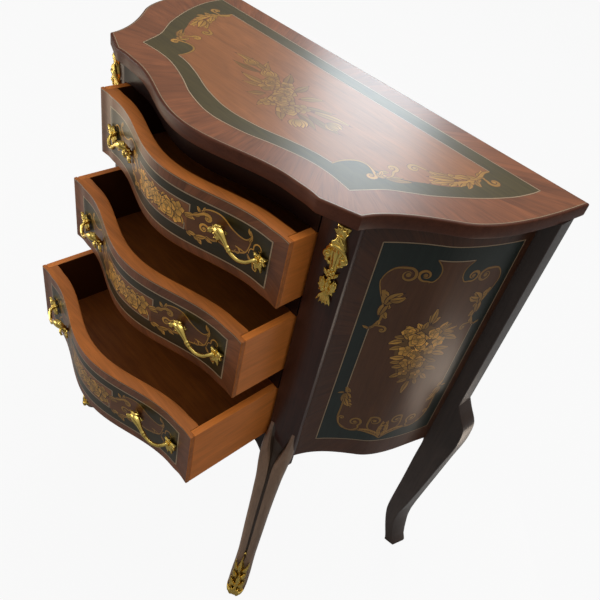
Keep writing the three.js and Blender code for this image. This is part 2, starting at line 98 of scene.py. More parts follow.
# Up the front leg: height, front, back, width, groove width and groove depth as shares
LEG_STATIONS = (
    (0.0, 0.98, 0.52, 0.6, 0.03, 0.0), (0.02, 1.0, 0.5, 0.65, 0.03, 0.0),
    (0.05, 0.97, 0.46, 0.67, 0.03, 0.0), (0.1, 0.885, 0.38, 0.66, 0.03, 0.0),
    (0.15, 0.81, 0.31, 0.63, 0.03, 0.0), (0.212, 0.725, 0.25, 0.61, 0.03, 0.0),
    (0.23, 0.705, 0.24, 0.61, 0.032, 0.036), (0.2675, 0.67, 0.22, 0.62, 0.035, 0.04),
    (0.375, 0.625, 0.215, 0.65, 0.04, 0.045), (0.45, 0.605, 0.2, 0.67, 0.042, 0.045),
    (0.5325, 0.585, 0.135, 0.69, 0.044, 0.045), (0.625, 0.54, 0.03, 0.73, 0.046, 0.045),
    (0.6875, 0.505, -0.09, 0.77, 0.046, 0.045), (0.75, 0.445, -0.195, 0.82, 0.048, 0.045),
    (0.8, 0.372, -0.257, 0.9, 0.055, 0.062), (0.8375, 0.292, -0.292, 0.96, 0.09, 0.133),
    (0.8625, 0.239, -0.31, 1.0, 0.15, 0.186), (0.8875, 0.195, -0.31, 1.01, 0.21, 0.177),
    (0.925, 0.115, -0.31, 1.0, 0.28, 0.124), (0.9625, 0.053, -0.31, 0.98, 0.32, 0.058),
    (1.0, 0.007, -0.31, 0.96, 0.34, 0.014),
)
# Round half the leg from its groove, as shares: groove width, leg width, groove depth and leg depth
LEG_SECTION = (
    (0.7, 0, 1, 0), (0.93, 0, 0.5, 0), (1, 0, 0.14, 0.0), (0.8, 0.12, 0.0, -0.004), (0.5, 0.5, 0, -0.006),
    (0.2, 0.72, 0, 0.02), (0, 0.86, 0, 0.09), (0, 0.955, 0, 0.22), (0, 1, 0, 0.38), (0, 0.985, 0, 0.58),
    (0, 0.93, 0, 0.75), (0, 0.8, 0, 0.9), (0, 0.6, 0, 0.97),
)
LEG_WIDEST = 9
LEG_REACH = 70.0
LEG_WIDTH = 50.0
LEG_TURN = math.radians(30.5)
FACE_TURN = math.atan2(STILE_CANT, STILE_WIDTH)
KNEE_TOP = CASE_BOTTOM + 72.0
KNEE_TWIST = 0.25

# Down the rear leg: height and how far its outer face is cut back at the side and at the front
REAR_CANTS = (
    (0, 6.6, 3.0), (45, 10.0, 2.6), (90, 8.0, 2.0), (131, 5.2, 1.6), (190, 3.4, 1.2), (250, 2.4, 0.8),
    (320, 1.4, 0.4), (430, 0.8, 0.2), (800, 0.8, 0.2),
)


def measure(name, description, default, low, high):
    """A length that the user can change."""
    return FloatProperty(
        name=name, description=description, default=default, min=low, max=high, unit="LENGTH")


def colour(name, description, default):
    """A colour that the user can change."""
    return FloatVectorProperty(
        name=name, description=description, default=default, subtype="COLOR", size=3, min=0.0, max=1.0)


def power(name, description, default):
    """A strength of light that the user can change."""
    return FloatProperty(name=name, description=description, default=default, min=0.0)


class CommodeSizes(bpy.types.PropertyGroup):
    """Sizes of the veneer work and of the castings."""

    string_width: measure("Stringing width", "Width of the pale wood lines", 0.0014, 0.0005, 0.005)
    veneer_leaf: measure("Veneer leaf", "Length of one leaf of the crossbanded borders", 0.046, 0.02, 0.2)
    arris: measure("Arris", "Rounding of the wood's edges", 0.0009, 0.0001, 0.003)
    board_rounding: measure("Board rounding", "Rounding along the top board's edge", 0.0026, 0.0005, 0.008)
    casting_detail: IntProperty(
        name="Casting detail", description="Subdivision of the gilt castings", default=1, min=0, max=2)


class CommodeColours(bpy.types.PropertyGroup):
    """Colours of the woods and the gilding."""

    border: colour("Border", "Mahogany of the crossbanded borders", (0.22, 0.072, 0.026))
    edge: colour("Board edge", "Mahogany along the board's edge", (0.115, 0.035, 0.017))
    field: colour("Field", "Darker veneer behind the flowers", (0.25, 0.09, 0.027))
    green: colour("Green band", "Green-dyed veneer of the bands", (0.012, 0.022, 0.017))
    olive: colour("Olive band", "Faded green veneer of the board and the drawers", (0.074, 0.053, 0.013))
    string: colour("Stringing", "Pale wood of the lines", (0.46, 0.325, 0.195))
    gold: colour("Flower wood", "Golden veneer of the flowers and scrolls", (0.74, 0.38, 0.068))
    scorch: colour("Sand shading", "Veneer scorched in hot sand", (0.05, 0.017, 0.007))
    case: colour("Case", "Polished mahogany of the case", (0.050, 0.015, 0.009))
    front_legs: colour("Front legs", "Polished wood of the front legs", (0.30, 0.19, 0.125))
    legs: colour("Rear legs", "Dark stained wood of the rear legs", (0.052, 0.034, 0.028))
    drawer: colour("Drawer wood", "Red-brown hardwood of the drawers", (0.50, 0.152, 0.026))
    plain: colour("Plain wood", "Wood of the back and the runners", (0.10, 0.045, 0.02))
    gilt: colour("Gilding", "Bright gilding of the castings", (1.0, 0.725, 0.19))


class CommodeStage(bpy.types.PropertyGroup):
    """The lights."""

    key_power: power("Key light", "Power of the large soft light", 26.0)
    window_power: power("Window light", "Power of the light mirrored in the board", 29.0)
    front_power: power("Front light", "Power of the low light from the front and left", 20.0)
    floor_sheen: power("Floor sheen", "Light from the floor at the left on the drawer fronts", 2.2)
    floor_glow: power("Floor glow", "Power of the light thrown up beside the right panel", 0.6)
    sky: power("Room light", "Strength of the light from above", 0.5)


def sizes():
    """The sizes that the user can change."""
    return bpy.context.scene.commode_sizes


def colours():
    """The colours that the user can change."""
    return bpy.context.scene.commode_colours


# Curves and outlines

def spread(low, high, steps):
    """Even places from one value to another."""
    return [low + (high - low) * step / steps for step in range(steps + 1)]


def mix(a, b, share):
    """The value that share of the way from a to b."""
    return a + (b - a) * share


def clamped(value):
    """A value held between 0 and 1."""
    return min(max(value, 0.0), 1.0)


def smooth_line(points, steps=6):
    """A smooth curve through points of any dimension."""
    points = [Vector(p) for p in points]
    out = []
    for i in range(len(points) - 1):
        before = points[max(i - 1, 0)]
        after = points[min(i + 2, len(points) - 1)]
        a, b = points[i], points[i + 1]
        for step in range(steps):
            t = step / steps
            out.append(0.5 * (
                2 * a + (b - before) * t
                + (2 * before - 5 * a + 4 * b - after) * t * t
                + (3 * a - before - 3 * b + after) * t ** 3))
    out.append(points[-1])
    return out


def resample(points, count):
    """The same line with its points evenly spaced."""
    points = [Vector(p) for p in points]
    lengths = [0.0]
    for a, b in zip(points, points[1:]):
        lengths.append(lengths[-1] + (b - a).length)
    out = []
    place = 0
    for wanted in spread(0.0, lengths[-1], count):
        while place < len(points) - 2 and lengths[place + 1] < wanted:
            place += 1
        span = max(lengths[place + 1] - lengths[place], 1e-9)
        out.append(points[place].lerp(points[place + 1], clamped((wanted - lengths[place]) / span)))
    return out


def line_length(points):
    """Length of a line of points."""
    return sum((Vector(b) - Vector(a)).length for a, b in zip(points, points[1:]))


def sideways(behind, ahead):
    """The direction to the left of a corner, and that of the line beyond it."""
    n1 = Vector((-behind.y, behind.x)).normalized()
    n2 = Vector((-ahead.y, ahead.x)).normalized()
    return (n1 + n2).normalized(), n2


def offset_line(points, distance):
    """A flat line moved sideways, to its left where the distance is positive."""
    points = [Vector(p) for p in points]
    out = []
    for i, p in enumerate(points):
        ahead = points[min(i + 1, len(points) - 1)] - p
        behind = p - points[max(i - 1, 0)]
        if ahead.length < 1e-9:
            ahead = behind
        if behind.length < 1e-9:
            behind = ahead
        n, n2 = sideways(behind, ahead)
        width = distance(i / (len(points) - 1)) if callable(distance) else distance
        out.append(p + n * width / max(n.dot(n2), 0.45))
    return out


def inset_loop(loop, distance):
    """A loop that runs anticlockwise, moved inward."""
    out = []
    for i, p in enumerate(loop):
        n, n2 = sideways(p - loop[i - 1], loop[(i + 1) % len(loop)] - p)
        out.append(p + n * distance / max(n.dot(n2), 0.4))
    return out


def pointing(angle):
    """The flat direction at an angle."""
    return Vector((math.cos(angle), math.sin(angle)))


def around(centre, reach, angle):
    """The point at a distance and an angle from a centre."""
    return centre[0] + reach * math.cos(angle), centre[1] + reach * math.sin(angle)


def closed_loop(right):
    """A right half and its mirror image as one loop."""
    return right + [Vector((-p.x, p.y)) for p in right if p.x > 0.001][::-1]


def holds(outline, p):
    """Whether a flat outline has the point inside it."""
    inside = False
    a = outline[-1]
    for b in outline:
        if (a.y > p.y) != (b.y > p.y) and p.x < a.x + (b.x - a.x) * (p.y - a.y) / (b.y - a.y):
            inside = not inside
        a = b
    return inside


def front_curve(x, bow=FRONT_BOW):
    """Depth of the bowed front at a place across it."""
    across = abs(x)
    if across < BOW_REACH:
        return -bow * (1 + math.cos(math.pi * across / BOW_REACH)) / 2
    share = min((across - BOW_REACH) / (OPENING_HALF - BOW_REACH), 1.0)
    return FRONT_HOLLOW * math.sin(math.pi * share) ** 2


def front_slope(x, step):
    """Slope of the bowed front, taken that far to both sides of a place."""
    return (front_curve(x + step) - front_curve(x - step)) / (2 * step)


def side_line(inset, steps=24):
    """The swept side of the board from front to back, moved inward."""
    front = Vector((STILE_OUTER, STILE_CANT - 5.5))
    rear = Vector((BOARD_HALF, BOARD_BACK))

    def pull(across, along):
        return Vector((mix(front.x, rear.x, across), mix(front.y, rear.y, along)))

    near, middle, far = (pull(*shares) for shares in SIDE_PULLS)
    out = []
    for a, b, c in ((front, near, middle), (middle, far, rear)):
        for t in spread(0.0, 1.0, steps):
            point = a * (1 - t) ** 2 + b * 2 * t * (1 - t) + c * t * t
            tangent = ((b - a) * (1 - t) + (c - b) * t).normalized()
            moved = Vector((point.x - inset * tangent.y, point.y + inset * tangent.x))
            if not out or (moved - out[-1]).length > 0.01:
                out.append(moved)
    return out


def board_outline():
    """The board's outline from the middle of its front round its right half."""
    bow = -BOARD_LOW.y + STILE_PLANE - BOARD_OVERHANG
    front = [Vector((x, front_curve(x, bow) - BOARD_OVERHANG)) for x in spread(0.0, OPENING_HALF, 48)]
    return front, side_line(0.0)


# Meshes

def add_object(name, data):
    """A new object in the scene."""
    added = bpy.data.objects.new(name, data)
    bpy.context.scene.collection.objects.link(added)
    return added


def finish_object(name, mesh, body, stands_for=(), angle=38.0):
    """Adds a mesh as a piece that rides on a body of the frame, with its edges sharp above an angle."""
    mesh.validate()
    piece = add_object(name, mesh)
    mesh.shade_smooth()
    if angle is not None:
        mesh.set_sharp_from_angle(angle=math.radians(angle))
    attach(piece, body)
    if stands_for:
        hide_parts(*stands_for)
    return piece


def mesh_of(name, points, faces, finishes=(), picks=None, outward=True):
    """A mesh from points in millimetres, with its faces turned outward unless they lie right already."""
    mesh = bpy.data.meshes.new(name)
    mesh.from_pydata([tuple(Vector(p) * MM) for p in points], [], faces)
    for name_of_finish in finishes:
        mesh.materials.append(finish(name_of_finish))
    if picks:
        mesh.polygons.foreach_set("material_index", picks)
    mesh.update()
    if outward:
        bm = bmesh.new()
        bm.from_mesh(mesh)
        bmesh.ops.recalc_face_normals(bm, faces=bm.faces)
        bm.to_mesh(mesh)
        bm.free()
    return mesh


def loft(rings):
    """Points and faces through rings with the same number of points, closed at both ends."""
    count = len(rings[0])
    points = [p for ring in rings for p in ring]
    faces = []
    for ring in range(len(rings) - 1):
        for i in range(count):
            a = ring * count + i
            b = ring * count + (i + 1) % count
            faces.append((a, b, b + count, a + count))
    faces.append(tuple(reversed(range(count))))
    faces.append(tuple(range((len(rings) - 1) * count, len(rings) * count)))
    return points, faces


# Materials

class Nodes:
    """Short words for building a node tree."""

    def __init__(self, tree):
        self.tree = tree
        tree.nodes.clear()

    def add(self, kind, inputs=None, **settings):
        """A node with its settings, and its inputs set or linked."""
        node = self.tree.nodes.new(kind)
        for name, value in settings.items():
            setattr(node, name, value)
        self.fill(node, inputs or {})
        return node

    def fill(self, node, inputs):
        """Sets the inputs of a node, or links them where the value is a socket."""
        for name, value in inputs.items():
            if isinstance(value, bpy.types.NodeSocket):
                self.tree.links.new(value, node.inputs[name])
            else:
                node.inputs[name].default_value = value

    def math(self, kind, *values, clamp=False):
        inputs = dict(enumerate(values))
        return self.add("ShaderNodeMath", inputs, operation=kind, use_clamp=clamp).outputs[0]

    def blend(self, share, a, b):
        a, b = (v if isinstance(v, bpy.types.NodeSocket) else (*v[:3], 1.0) for v in (a, b))
        return self.add("ShaderNodeMix", {0: share, 6: a, 7: b}, data_type="RGBA").outputs[2]

    def ramp(self, value, low, high, foot=(0.0, 0.0, 0.0), top=(1.0, 1.0, 1.0)):
        node = self.add("ShaderNodeValToRGB", {0: value})
        for element, place, level in zip(node.color_ramp.elements, (low, high), (foot, top)):
            element.position = place
            element.color = (*level, 1.0)
        return node.outputs[0]

    def noise(self, vector, scale, detail, rough=0.55, twist=0.0):
        return self.add("ShaderNodeTexNoise", {
            "Vector": vector, "Scale": scale, "Detail": detail, "Roughness": rough, "Distortion": twist,
        }).outputs["Fac"]

    def mapped(self, vector, scale, turn=(0, 0, 0)):
        return self.add("ShaderNodeMapping", {"Vector": vector, "Scale": scale, "Rotation": turn}).outputs[0]

    def split(self, vector):
        return self.add("ShaderNodeSeparateXYZ", {0: vector}).outputs

    def coordinates(self, kind):
        return self.add("ShaderNodeTexCoord").outputs[kind]

    def sheet(self, name):
        return self.add("ShaderNodeUVMap", uv_map=name).outputs[0]

    def either(self, share, a, b):
        """A mix of the shaders of two nodes."""
        return self.add("ShaderNodeMixShader", {0: share, 1: a.outputs[0], 2: b.outputs[0]}).outputs[0]


class Surface(Nodes):
    """The tree of a material, with its shader and its output."""

    def __init__(self, name):
        self.material = bpy.data.materials.new(name)
        self.material.use_nodes = True
        super().__init__(self.material.node_tree)
        self.out = self.add("ShaderNodeOutputMaterial")
        self.shader = self.add("ShaderNodeBsdfPrincipled")
        self.fill(self.out, {0: self.shader.outputs[0]})

    def shade(self, **inputs):
        """Sets the shader's inputs. The names have low lines in place of spaces."""
        self.fill(self.shader, {name.replace("_", " "): value for name, value in inputs.items()})

    def bump(self, height, distance, strength):
        node = self.add("ShaderNodeBump", {"Strength": strength, "Distance": distance, "Height": height})
        self.shade(Normal=node.outputs[0])


POLISH = (0.33, 0.16, 0.25, 0.35)
LEG_POLISH = (0.34, 0.3, 0.2, 0.35)
DRAWER_POLISH = (0.45, 0.05, 0.3, 0.3)
DULL = (0.6, 0.0, 0.3, 0.35)
SHEET = None
ACROSS, DEEP, UPRIGHT = (0, 0, 0), (0, 0, math.pi / 2), (0, math.pi / 2, 0)

# Each wood: its material, its colour and share of it, the way of its grain (a veneer's is on its own sheet),
# contrast, polish (roughness, coat, coat roughness, specular) and the side whose faces get painted shade
WOODS = {
    "border": ("border veneer", "border", 1.0, SHEET, 0.62, POLISH, 0),
    "green": ("green veneer", "green", 1.0, SHEET, 0.5, POLISH, 0),
    "olive": ("olive veneer", "olive", 1.0, SHEET, 0.5, POLISH, 0),
    "field": ("field veneer", "field", 1.0, SHEET, 0.42, POLISH, 0),
    "string": ("stringing", "string", 1.0, SHEET, 0.25, POLISH, 0),
    "gold": ("flower veneer", "gold", 1.0, SHEET, 0.3, POLISH, 0),
    "line": ("scorched line", "scorch", 1.0, SHEET, 0.3, POLISH, 0),
    "case": ("polished mahogany", "case", 1.0, ACROSS, 0.6, POLISH, 0),
    # Rails: the case's mahogany darkened to a quarter, painted shade of the recess under the board.
    "rail": ("rail mahogany in painted shade", "case", 0.25, ACROSS, 0.6, (0.33, 0.16, 0.25, 0.15), 0),
    "case_upright": ("polished mahogany upright", "case", 1.0, UPRIGHT, 0.6, POLISH, 0),
    "edge": ("board edge", "edge", 1.0, ACROSS, 0.5, (0.42, 0.05, 0.3, 0.22), 0),
    "front_legs": ("front leg wood", "front_legs", 1.0, UPRIGHT, 0.4, LEG_POLISH, 0),
    # The leg's grooves: its wood darkened to 0.22, painted shade in the recess.
    "groove": ("leg groove in painted shade", "front_legs", 0.22, UPRIGHT, 0.4, POLISH, 0),
    "legs": ("dark leg wood", "legs", 1.0, UPRIGHT, 0.45, LEG_POLISH, 0),
    "drawer": ("drawer wood", "drawer", 1.0, ACROSS, 0.42, DRAWER_POLISH, 0),
    # Drawer bottoms: the drawer wood at 0.8, painted shade inside the drawers.
    "drawer_bottom": ("drawer bottom wood in painted shade", "drawer", 0.8, ACROSS, 0.42, (0.5, 0.05, 0.3, 0.35), 0),
    # Drawer sides: their faces inside the box are darkened as painted shade.
    "drawer_right": ("right drawer side wood", "drawer", 1.55, DEEP, 0.22, DRAWER_POLISH, -1),
    "drawer_left": ("left drawer side wood", "drawer", 1.55, DEEP, 0.22, DRAWER_POLISH, 1),
    "plain": ("plain wood", "plain", 1.0, ACROSS, 0.5, DULL, 0),
    "plain_deep": ("plain runner wood", "plain", 1.0, DEEP, 0.5, DULL, 0),
}
VENEERS = [name for name, wood in WOODS.items() if wood[3] is SHEET]
FINISHES = {}


def wood_material(name, colour_name, share, grain_way, contrast, polish, inward):
    """A wood with fine grain, pores and a broad figure."""
    nodes = Surface(name)
    tint = Vector(getattr(colours(), colour_name)) * share
    dark, light = tint * (1 - 0.55 * contrast), tint * (1 + 0.75 * contrast)
    if grain_way is SHEET:
        place = nodes.sheet("grain")
    else:
        place = nodes.mapped(nodes.coordinates("Object"), (1, 1, 1), grain_way)
    fine = nodes.noise(nodes.mapped(place, (9.0, 190.0, 190.0)), 1.0, 7.0, 0.62, 0.25)
    pores = nodes.noise(nodes.mapped(place, (27.0, 855.0, 855.0)), 1.0, 2.0, 0.5)
    broad = nodes.noise(nodes.mapped(place, (11.0, 35.2, 35.2)), 1.0, 3.0, 0.5, 1.4)
    base = nodes.blend(nodes.ramp(fine, 0.3, 0.72), dark, light)
    base = nodes.blend(0.42, base, nodes.blend(nodes.ramp(broad, 0.3, 0.7), dark * 0.85, light))
    pored = nodes.math("MULTIPLY", nodes.ramp(pores, 0.56, 0.68), 0.55 * contrast)
    base = nodes.blend(pored, base, tint * 0.28)
    # Painted shade: faces turned to the side given by inward are darkened.
    if inward:
        facing = nodes.split(nodes.coordinates("Normal"))[0]
        base = nodes.blend(
            nodes.ramp(nodes.math("MULTIPLY", facing, float(inward)), 0.3, 0.75), base, tint * 0.1)
    if grain_way is SHEET:
        shade, tone, _ = nodes.split(nodes.sheet("cut"))
        tone = nodes.math("MULTIPLY_ADD", tone, 0.6, 0.7)
        toned = nodes.add("ShaderNodeVectorMath", {0: base, "Scale": tone}, operation="SCALE").outputs[0]
        base = nodes.blend(nodes.math("SUBTRACT", 1.0, shade, clamp=True), toned, colours().scorch)
    roughness, coat, coat_roughness, specular = polish
    nodes.shade(Base_Color=base, Roughness=roughness, Specular_IOR_Level=specular, Coat_Weight=coat,
                Coat_Roughness=coat_roughness)
    nodes.bump(fine, 0.00004, 0.35)
    return nodes.material


def gilding():
    """Cast and gilded brass, painted dark in its hollows and creases as shade, bright on the high places."""
    nodes = Surface("gilding")
    bright = Vector(colours().gilt)
    # Colour of the painted shade in the castings' hollows.
    hollow_shade = (0.3, 0.19, 0.04)
    # The attribute read here is painted light and shade: 1 on lit high places, 0 in shaded hollows.
    painted_light = nodes.add("ShaderNodeAttribute", attribute_name="painted_light").outputs["Fac"]
    speckle = nodes.noise(nodes.coordinates("Object"), 420.0, 4.0, 0.6)
    worn = nodes.noise(nodes.coordinates("Object"), 95.0, 3.0, 0.5)
    specks = nodes.math("MULTIPLY", nodes.math("SUBTRACT", speckle, 0.5), 0.5)
    share = nodes.ramp(nodes.math("ADD", painted_light, specks), 0.07, 0.42)
    rough = nodes.math("MULTIPLY_ADD", nodes.math("SUBTRACT", 1.0, share), 0.3, 0.24)
    warm = nodes.blend(worn, bright * 0.82, bright)
    nodes.shade(Base_Color=nodes.blend(share, hollow_shade, warm), Metallic=1.0, Roughness=rough)
    nodes.bump(speckle, 0.00016, 0.5)
    return nodes.material


def finish(name):
    """A finish of the chest, made when it is first needed."""
    if name not in FINISHES:
        FINISHES[name] = gilding() if name == "gilt" else wood_material(*WOODS[name])
    return FINISHES[name]


# Marquetry: flat veneers cut to shape and laid on a surface

# Width of a leaf and of a petal from foot to tip, as shares of the widest
LEAF = (0.0, 0.42, 0.78, 0.98, 1.0, 0.82, 0.5, 0.22, 0.0)
PETAL = (0.2, 0.45, 0.72, 0.92, 1.0, 0.95, 0.72, 0.34, 0.0)


class Marquetry:
    """The veneers of one panel in the order in which they are let in."""

    def __init__(self, seed, rim, glow, strip):
        self.cuts = []
        self.random = random.Random(seed)
        self.rim, self.rim_shade = rim
        self.glow = glow
        self.strip = strip

    def cut(self, points, veneer, ends=(), shade=(1.0, 1.0), grain=None, tone=None, kin=None):
        """One veneer. Its shade runs from one of its ends to the other."""
        bounds = self.glow if veneer == "gold" else (0.0, 1.0)
        kin = kin or {
            "tone": self.random.uniform(*bounds) if tone is None else tone,
            "grain": self.random.uniform(0, math.pi) if grain is None else grain,
            "shift": (self.random.uniform(0, 3), self.random.uniform(0, 3)),
        }
        self.cuts.append({
            "points": [Vector(p[:2]) for p in points], "veneer": veneer, "ends": ends, "shade": shade, **kin})
        return kin

    def mirror(self, start, centre=0.0):
        """Repeats the cuts from start on, mirrored across an upright line."""
        for cut in self.cuts[start:]:
            points, ends = (
                [Vector((2 * centre - p.x, p.y)) for p in line] for line in (cut["points"], cut["ends"]))
            self.cuts.append({**cut, "points": points, "ends": ends, "grain": math.pi - cut["grain"]})

    def ribbon(self, points, width, veneer, shade, tone=None):
        """A strip of changing width along a line, cut square at its corners."""
        left = offset_line(points, lambda t: width(t) / 2)
        right = offset_line(points, lambda t: -width(t) / 2)
        kin = None
        for i in range(len(points) - 1):
            kin = self.cut(
                (right[i], right[i + 1], left[i + 1], left[i]), veneer, (), (shade, shade), 0.0, tone, kin)

    def string(self, points, width=None, shade=0.95):
        """A line of pale wood between two thin dark lines."""
        width = width or sizes().string_width / MM
        self.ribbon(points, lambda t: width * 1.55, "line", 0.4, 0.3)
        self.ribbon(points, lambda t: width, "string", shade, 0.5)

    def blade(self, foot, angle, length, width, bend, shares=LEAF):
        """The midrib and both edges of a leaf or petal that bends sideways."""
        steps = len(shares) - 1
        mid, left, right = [], [], []
        place = Vector(foot)
        for i, share in enumerate(shares):
            ahead = pointing(angle + bend * (i / steps - 0.5))
            side = Vector((-ahead.y, ahead.x)) * (width / 2 * share)
            mid.append(place)
            left.append(place + side)
            right.append(place - side)
            place = place + ahead * (length / steps)
        return mid, left, right

    def shadow(self, left, right):
        """The dark outline of a leaf or a petal."""
        self.cut(left + right[::-1], self.rim, shade=(self.rim_shade,) * 2, tone=0.4)

    def leaf(self, foot, angle, length, width, bend, shade=(0.35, 1.0)):
        """A leaf of two halves along a dark rib, inside a dark outline."""
        mid, left, right = self.blade(foot, angle, length, width, bend)
        self.shadow(left, right)
        tone = self.random.uniform(*self.glow)
        for edge, level in ((left, 1.0), (right, 0.8)):
            rib, rim = ([m.lerp(e, share) for m, e in zip(mid, edge)] for share in (0.1, 0.8))
            self.cut(rib[1:-1] + rim[-2:0:-1], "gold", (mid[0], mid[-1]),
                     (shade[0] * level, shade[1] * level), angle, tone)

    def fronds(self, rows, shade=(0.35, 1.0), rise=1.0):
        """Leaves between two points, from rows of foot, tip, width, bend and perhaps a light of its own."""
        for x, y, tip_x, tip_y, width, bend, *light in rows:
            foot = Vector((x, y * rise))
            span = Vector((tip_x, tip_y * rise)) - foot
            self.leaf(foot, math.atan2(span.y, span.x), span.length, width * rise, bend,
                      (shade[0], *(light or shade[1:])))

    def petal(self, foot, angle, length, width, bend, shade):
        """A rounded petal with a dark outline, scorched at its foot."""
        self.shadow(*self.blade(foot, angle, length, width, bend, PETAL)[1:])
        mid, left, right = self.blade(foot, angle, length * 0.93, width * 0.84, bend, PETAL)
        self.cut(left[:-1] + mid[-1:] + right[-2::-1], "gold", (mid[0], mid[-1]), shade, angle)

    def disc(self, centre, radius, shade, sides):
        """A round spot with a dark outline."""
        for reach, veneer, level in ((radius, self.rim, self.rim_shade), (radius * 0.8, "gold", shade)):
            self.cut([around(centre, reach, a) for a in spread(0, 2 * math.pi, sides)[:-1]], veneer,
                     shade=(level, level))

    def rose(self, centre, radius, turn, light):
        """An open rose of overlapping rows of petals."""
        rows = ((5, 1.0, 1.12), (4, 0.68, 0.86), (3, 0.4, 0.56))
        for row, (count, reach, breadth) in enumerate(rows):
            for i in range(count):
                angle = turn + row * 0.7 + 2 * math.pi * i / count + self.random.uniform(-0.12, 0.12)
                length = radius * reach * self.random.uniform(0.92, 1.04)
                self.petal(
                    centre + pointing(angle) * radius * 0.06, angle, length, radius * breadth,
                    self.random.uniform(-0.3, 0.3), (0.12 + 0.06 * row, light))
        self.disc(centre, radius * 0.11, 0.55, 8)

    def daisy(self, centre, radius, turn, light):
        """A flat flower with five separate petals and a dark eye."""
        count = 5
        for i in range(count):
            angle = turn + 2 * math.pi * i / count
            self.petal(centre, angle, radius, radius * 4.6 / count, 0.15, (0.2, light))
        self.disc(centre, radius * 0.2, 0.6, 8)

    def flowers(self, kind, rows, light=1.0, rise=1.0):
        """Roses or daisies, from rows of place, radius, turn and perhaps a light of its own."""
        for x, y, radius, turn, *own in rows:
            kind(Vector((x, y * rise)), radius * rise, turn, *(own or (light,)))

    def tulip(self, foot, angle, length):
        """A half-open flower seen from its side."""
        for bend, width, reach in (
                (-0.9, 0.42, 0.95), (0.9, 0.42, 0.95), (-0.4, 0.4, 1.0), (0.4, 0.4, 1.0), (0, 0.42, 0.9)):
            self.petal(foot, angle - bend * 0.42, length * reach, length * width, bend * 1.2, (0.25, 1.0))

    def volute(self, centre, radius, start, turns, hand, width, lead, eye=True):
        """A scroll that ends in a curl, round an eye or open. Its tail follows the lead points."""
        curl = []
        for t in spread(0.0, 1.0, max(int(16 * turns), 6)):
            reach = radius * (1 - t) ** 0.85 + radius * 0.2 * t
            curl.append(Vector(around(centre, reach, start + hand * 2 * math.pi * turns * t)))
        path = smooth_line([*lead, curl[0]], 5)[:-1] + curl
        path = resample(path, max(int(line_length(path) / 2.6), 8))

        def breadth(t):
            return width * (0.34 + 0.66 * math.sin(math.pi * min(t * 1.15, 1.0) ** 1.6))

        tone = self.random.uniform(*self.glow)
        self.ribbon(path, lambda t: breadth(t) * 1.35 + 0.3, self.rim, self.rim_shade, 0.3)
        self.ribbon(path, breadth, "gold", self.strip, tone)
        if eye:
            self.disc(centre, radius * 0.34 + 0.4, self.strip, 10)

    def scroll(self, points, width, ends, shade=None):
        """A smooth strip of scrollwork, thinner at its ends."""
        path = smooth_line(points)
        path = resample(path, max(int(line_length(path) / 3.0), 6))

        def breadth(t):
            end = mix(*ends, t)
            return width * (end + (1 - end) * math.sin(math.pi * t))

        self.ribbon(path, lambda t: breadth(t) * 1.3 + 0.35, self.rim, self.rim_shade, 0.3)
        self.ribbon(path, breadth, "gold", shade or self.strip)

    def acanthus(self, points, reach, lean, lobes):
        """A curling leaf whose lobes spring from one side of a stem."""
        stem = resample(smooth_line(points), lobes)
        for i in range(lobes, 0, -1):
            ahead = (stem[i] - stem[i - 1]).normalized()
            heading = math.atan2(ahead.y, ahead.x)
            lobe = reach * (0.55 + 0.45 * math.sin(math.pi * (i + 0.3) / (lobes + 0.6)))
            self.leaf(stem[i - 1], heading + lean * 0.62, lobe, lobe * 0.62, lean * 1.1, (0.3, 0.95))
        self.ribbon(stem, lambda t: reach * (0.24 - 0.12 * t), "gold", self.strip)

    def crossband(self, outer, inner, tones):
        """Leaves of border veneer with their grain from the outer to the inner line."""
        count = max(round(line_length(outer) / (sizes().veneer_leaf / MM)), 1)
        fine = 4
        outer, inner = resample(outer, count * fine), resample(inner, count * fine)
        for i in range(count):
            span = slice(i * fine, (i + 1) * fine + 1)
            a, b = outer[span], inner[span]
            across = b[fine // 2] - a[fine // 2]
            self.cut(a + b[::-1], "border", tone=self.random.uniform(*tones),
                     grain=math.atan2(across.y, across.x) + self.random.uniform(-0.05, 0.05))

    def lay(self, name, body, surface, stations=(), flip=False):
        """The sheet on a surface, as a piece with a material for each wood and the surface's own normals."""
        points, faces, edges = [], [], []
        for cut in self.cuts:
            outline = cut["points"]
            area = sum(a.x * b.y - b.x * a.y for a, b in zip(outline, outline[1:] + outline[:1]))
            start = len(points)
            points.extend(outline if area > 0 else outline[::-1])
            faces.append(list(range(start, len(points))))
        for a, b in stations:
            edges.append((len(points), len(points) + 1))
            points.extend((Vector(a), Vector(b)))
        spots, _, triangles, _, _, owners = geometry.delaunay_2d_cdt(points, edges, faces, 0, 1e-3)
        placed = [surface(p.x, p.y) for p in spots]
        kept, sheets = [], []
        for triangle, owner in zip(triangles, owners):
            a, b, c = (spots[i] for i in triangle)
            middle = (a + b + c) / 3
            upper = (self.cuts[i] for i in sorted(owner, reverse=True))
            cut = next((cut for cut in upper if holds(cut["points"], middle)), None)
            if cut:
                kept.append(list(triangle))
                sheets.append(cut)
                if ((b - a).cross(c - a) < 0) != flip:
                    kept[-1].reverse()
        picks = [VENEERS.index(cut["veneer"]) for cut in sheets]
        mesh = mesh_of(name, [p for p, _ in placed], kept, VENEERS, picks, outward=False)
        grain = mesh.uv_layers.new(name="grain")
        shade = mesh.uv_layers.new(name="cut")
        place = 0
        for corners, cut in zip(kept, sheets):
            c, s = math.cos(-cut["grain"]), math.sin(-cut["grain"])
            for p in (spots[i] for i in corners):
                grain.data[place].uv = (
                    (c * p.x - s * p.y) * MM + cut["shift"][0], (s * p.x + c * p.y) * MM + cut["shift"][1])
                level = cut["shade"][1]
                if cut["ends"]:
                    foot, tip = cut["ends"]
                    span = tip - foot
                    share = clamped((p - foot).dot(span) / max(span.length_squared, 1e-9))
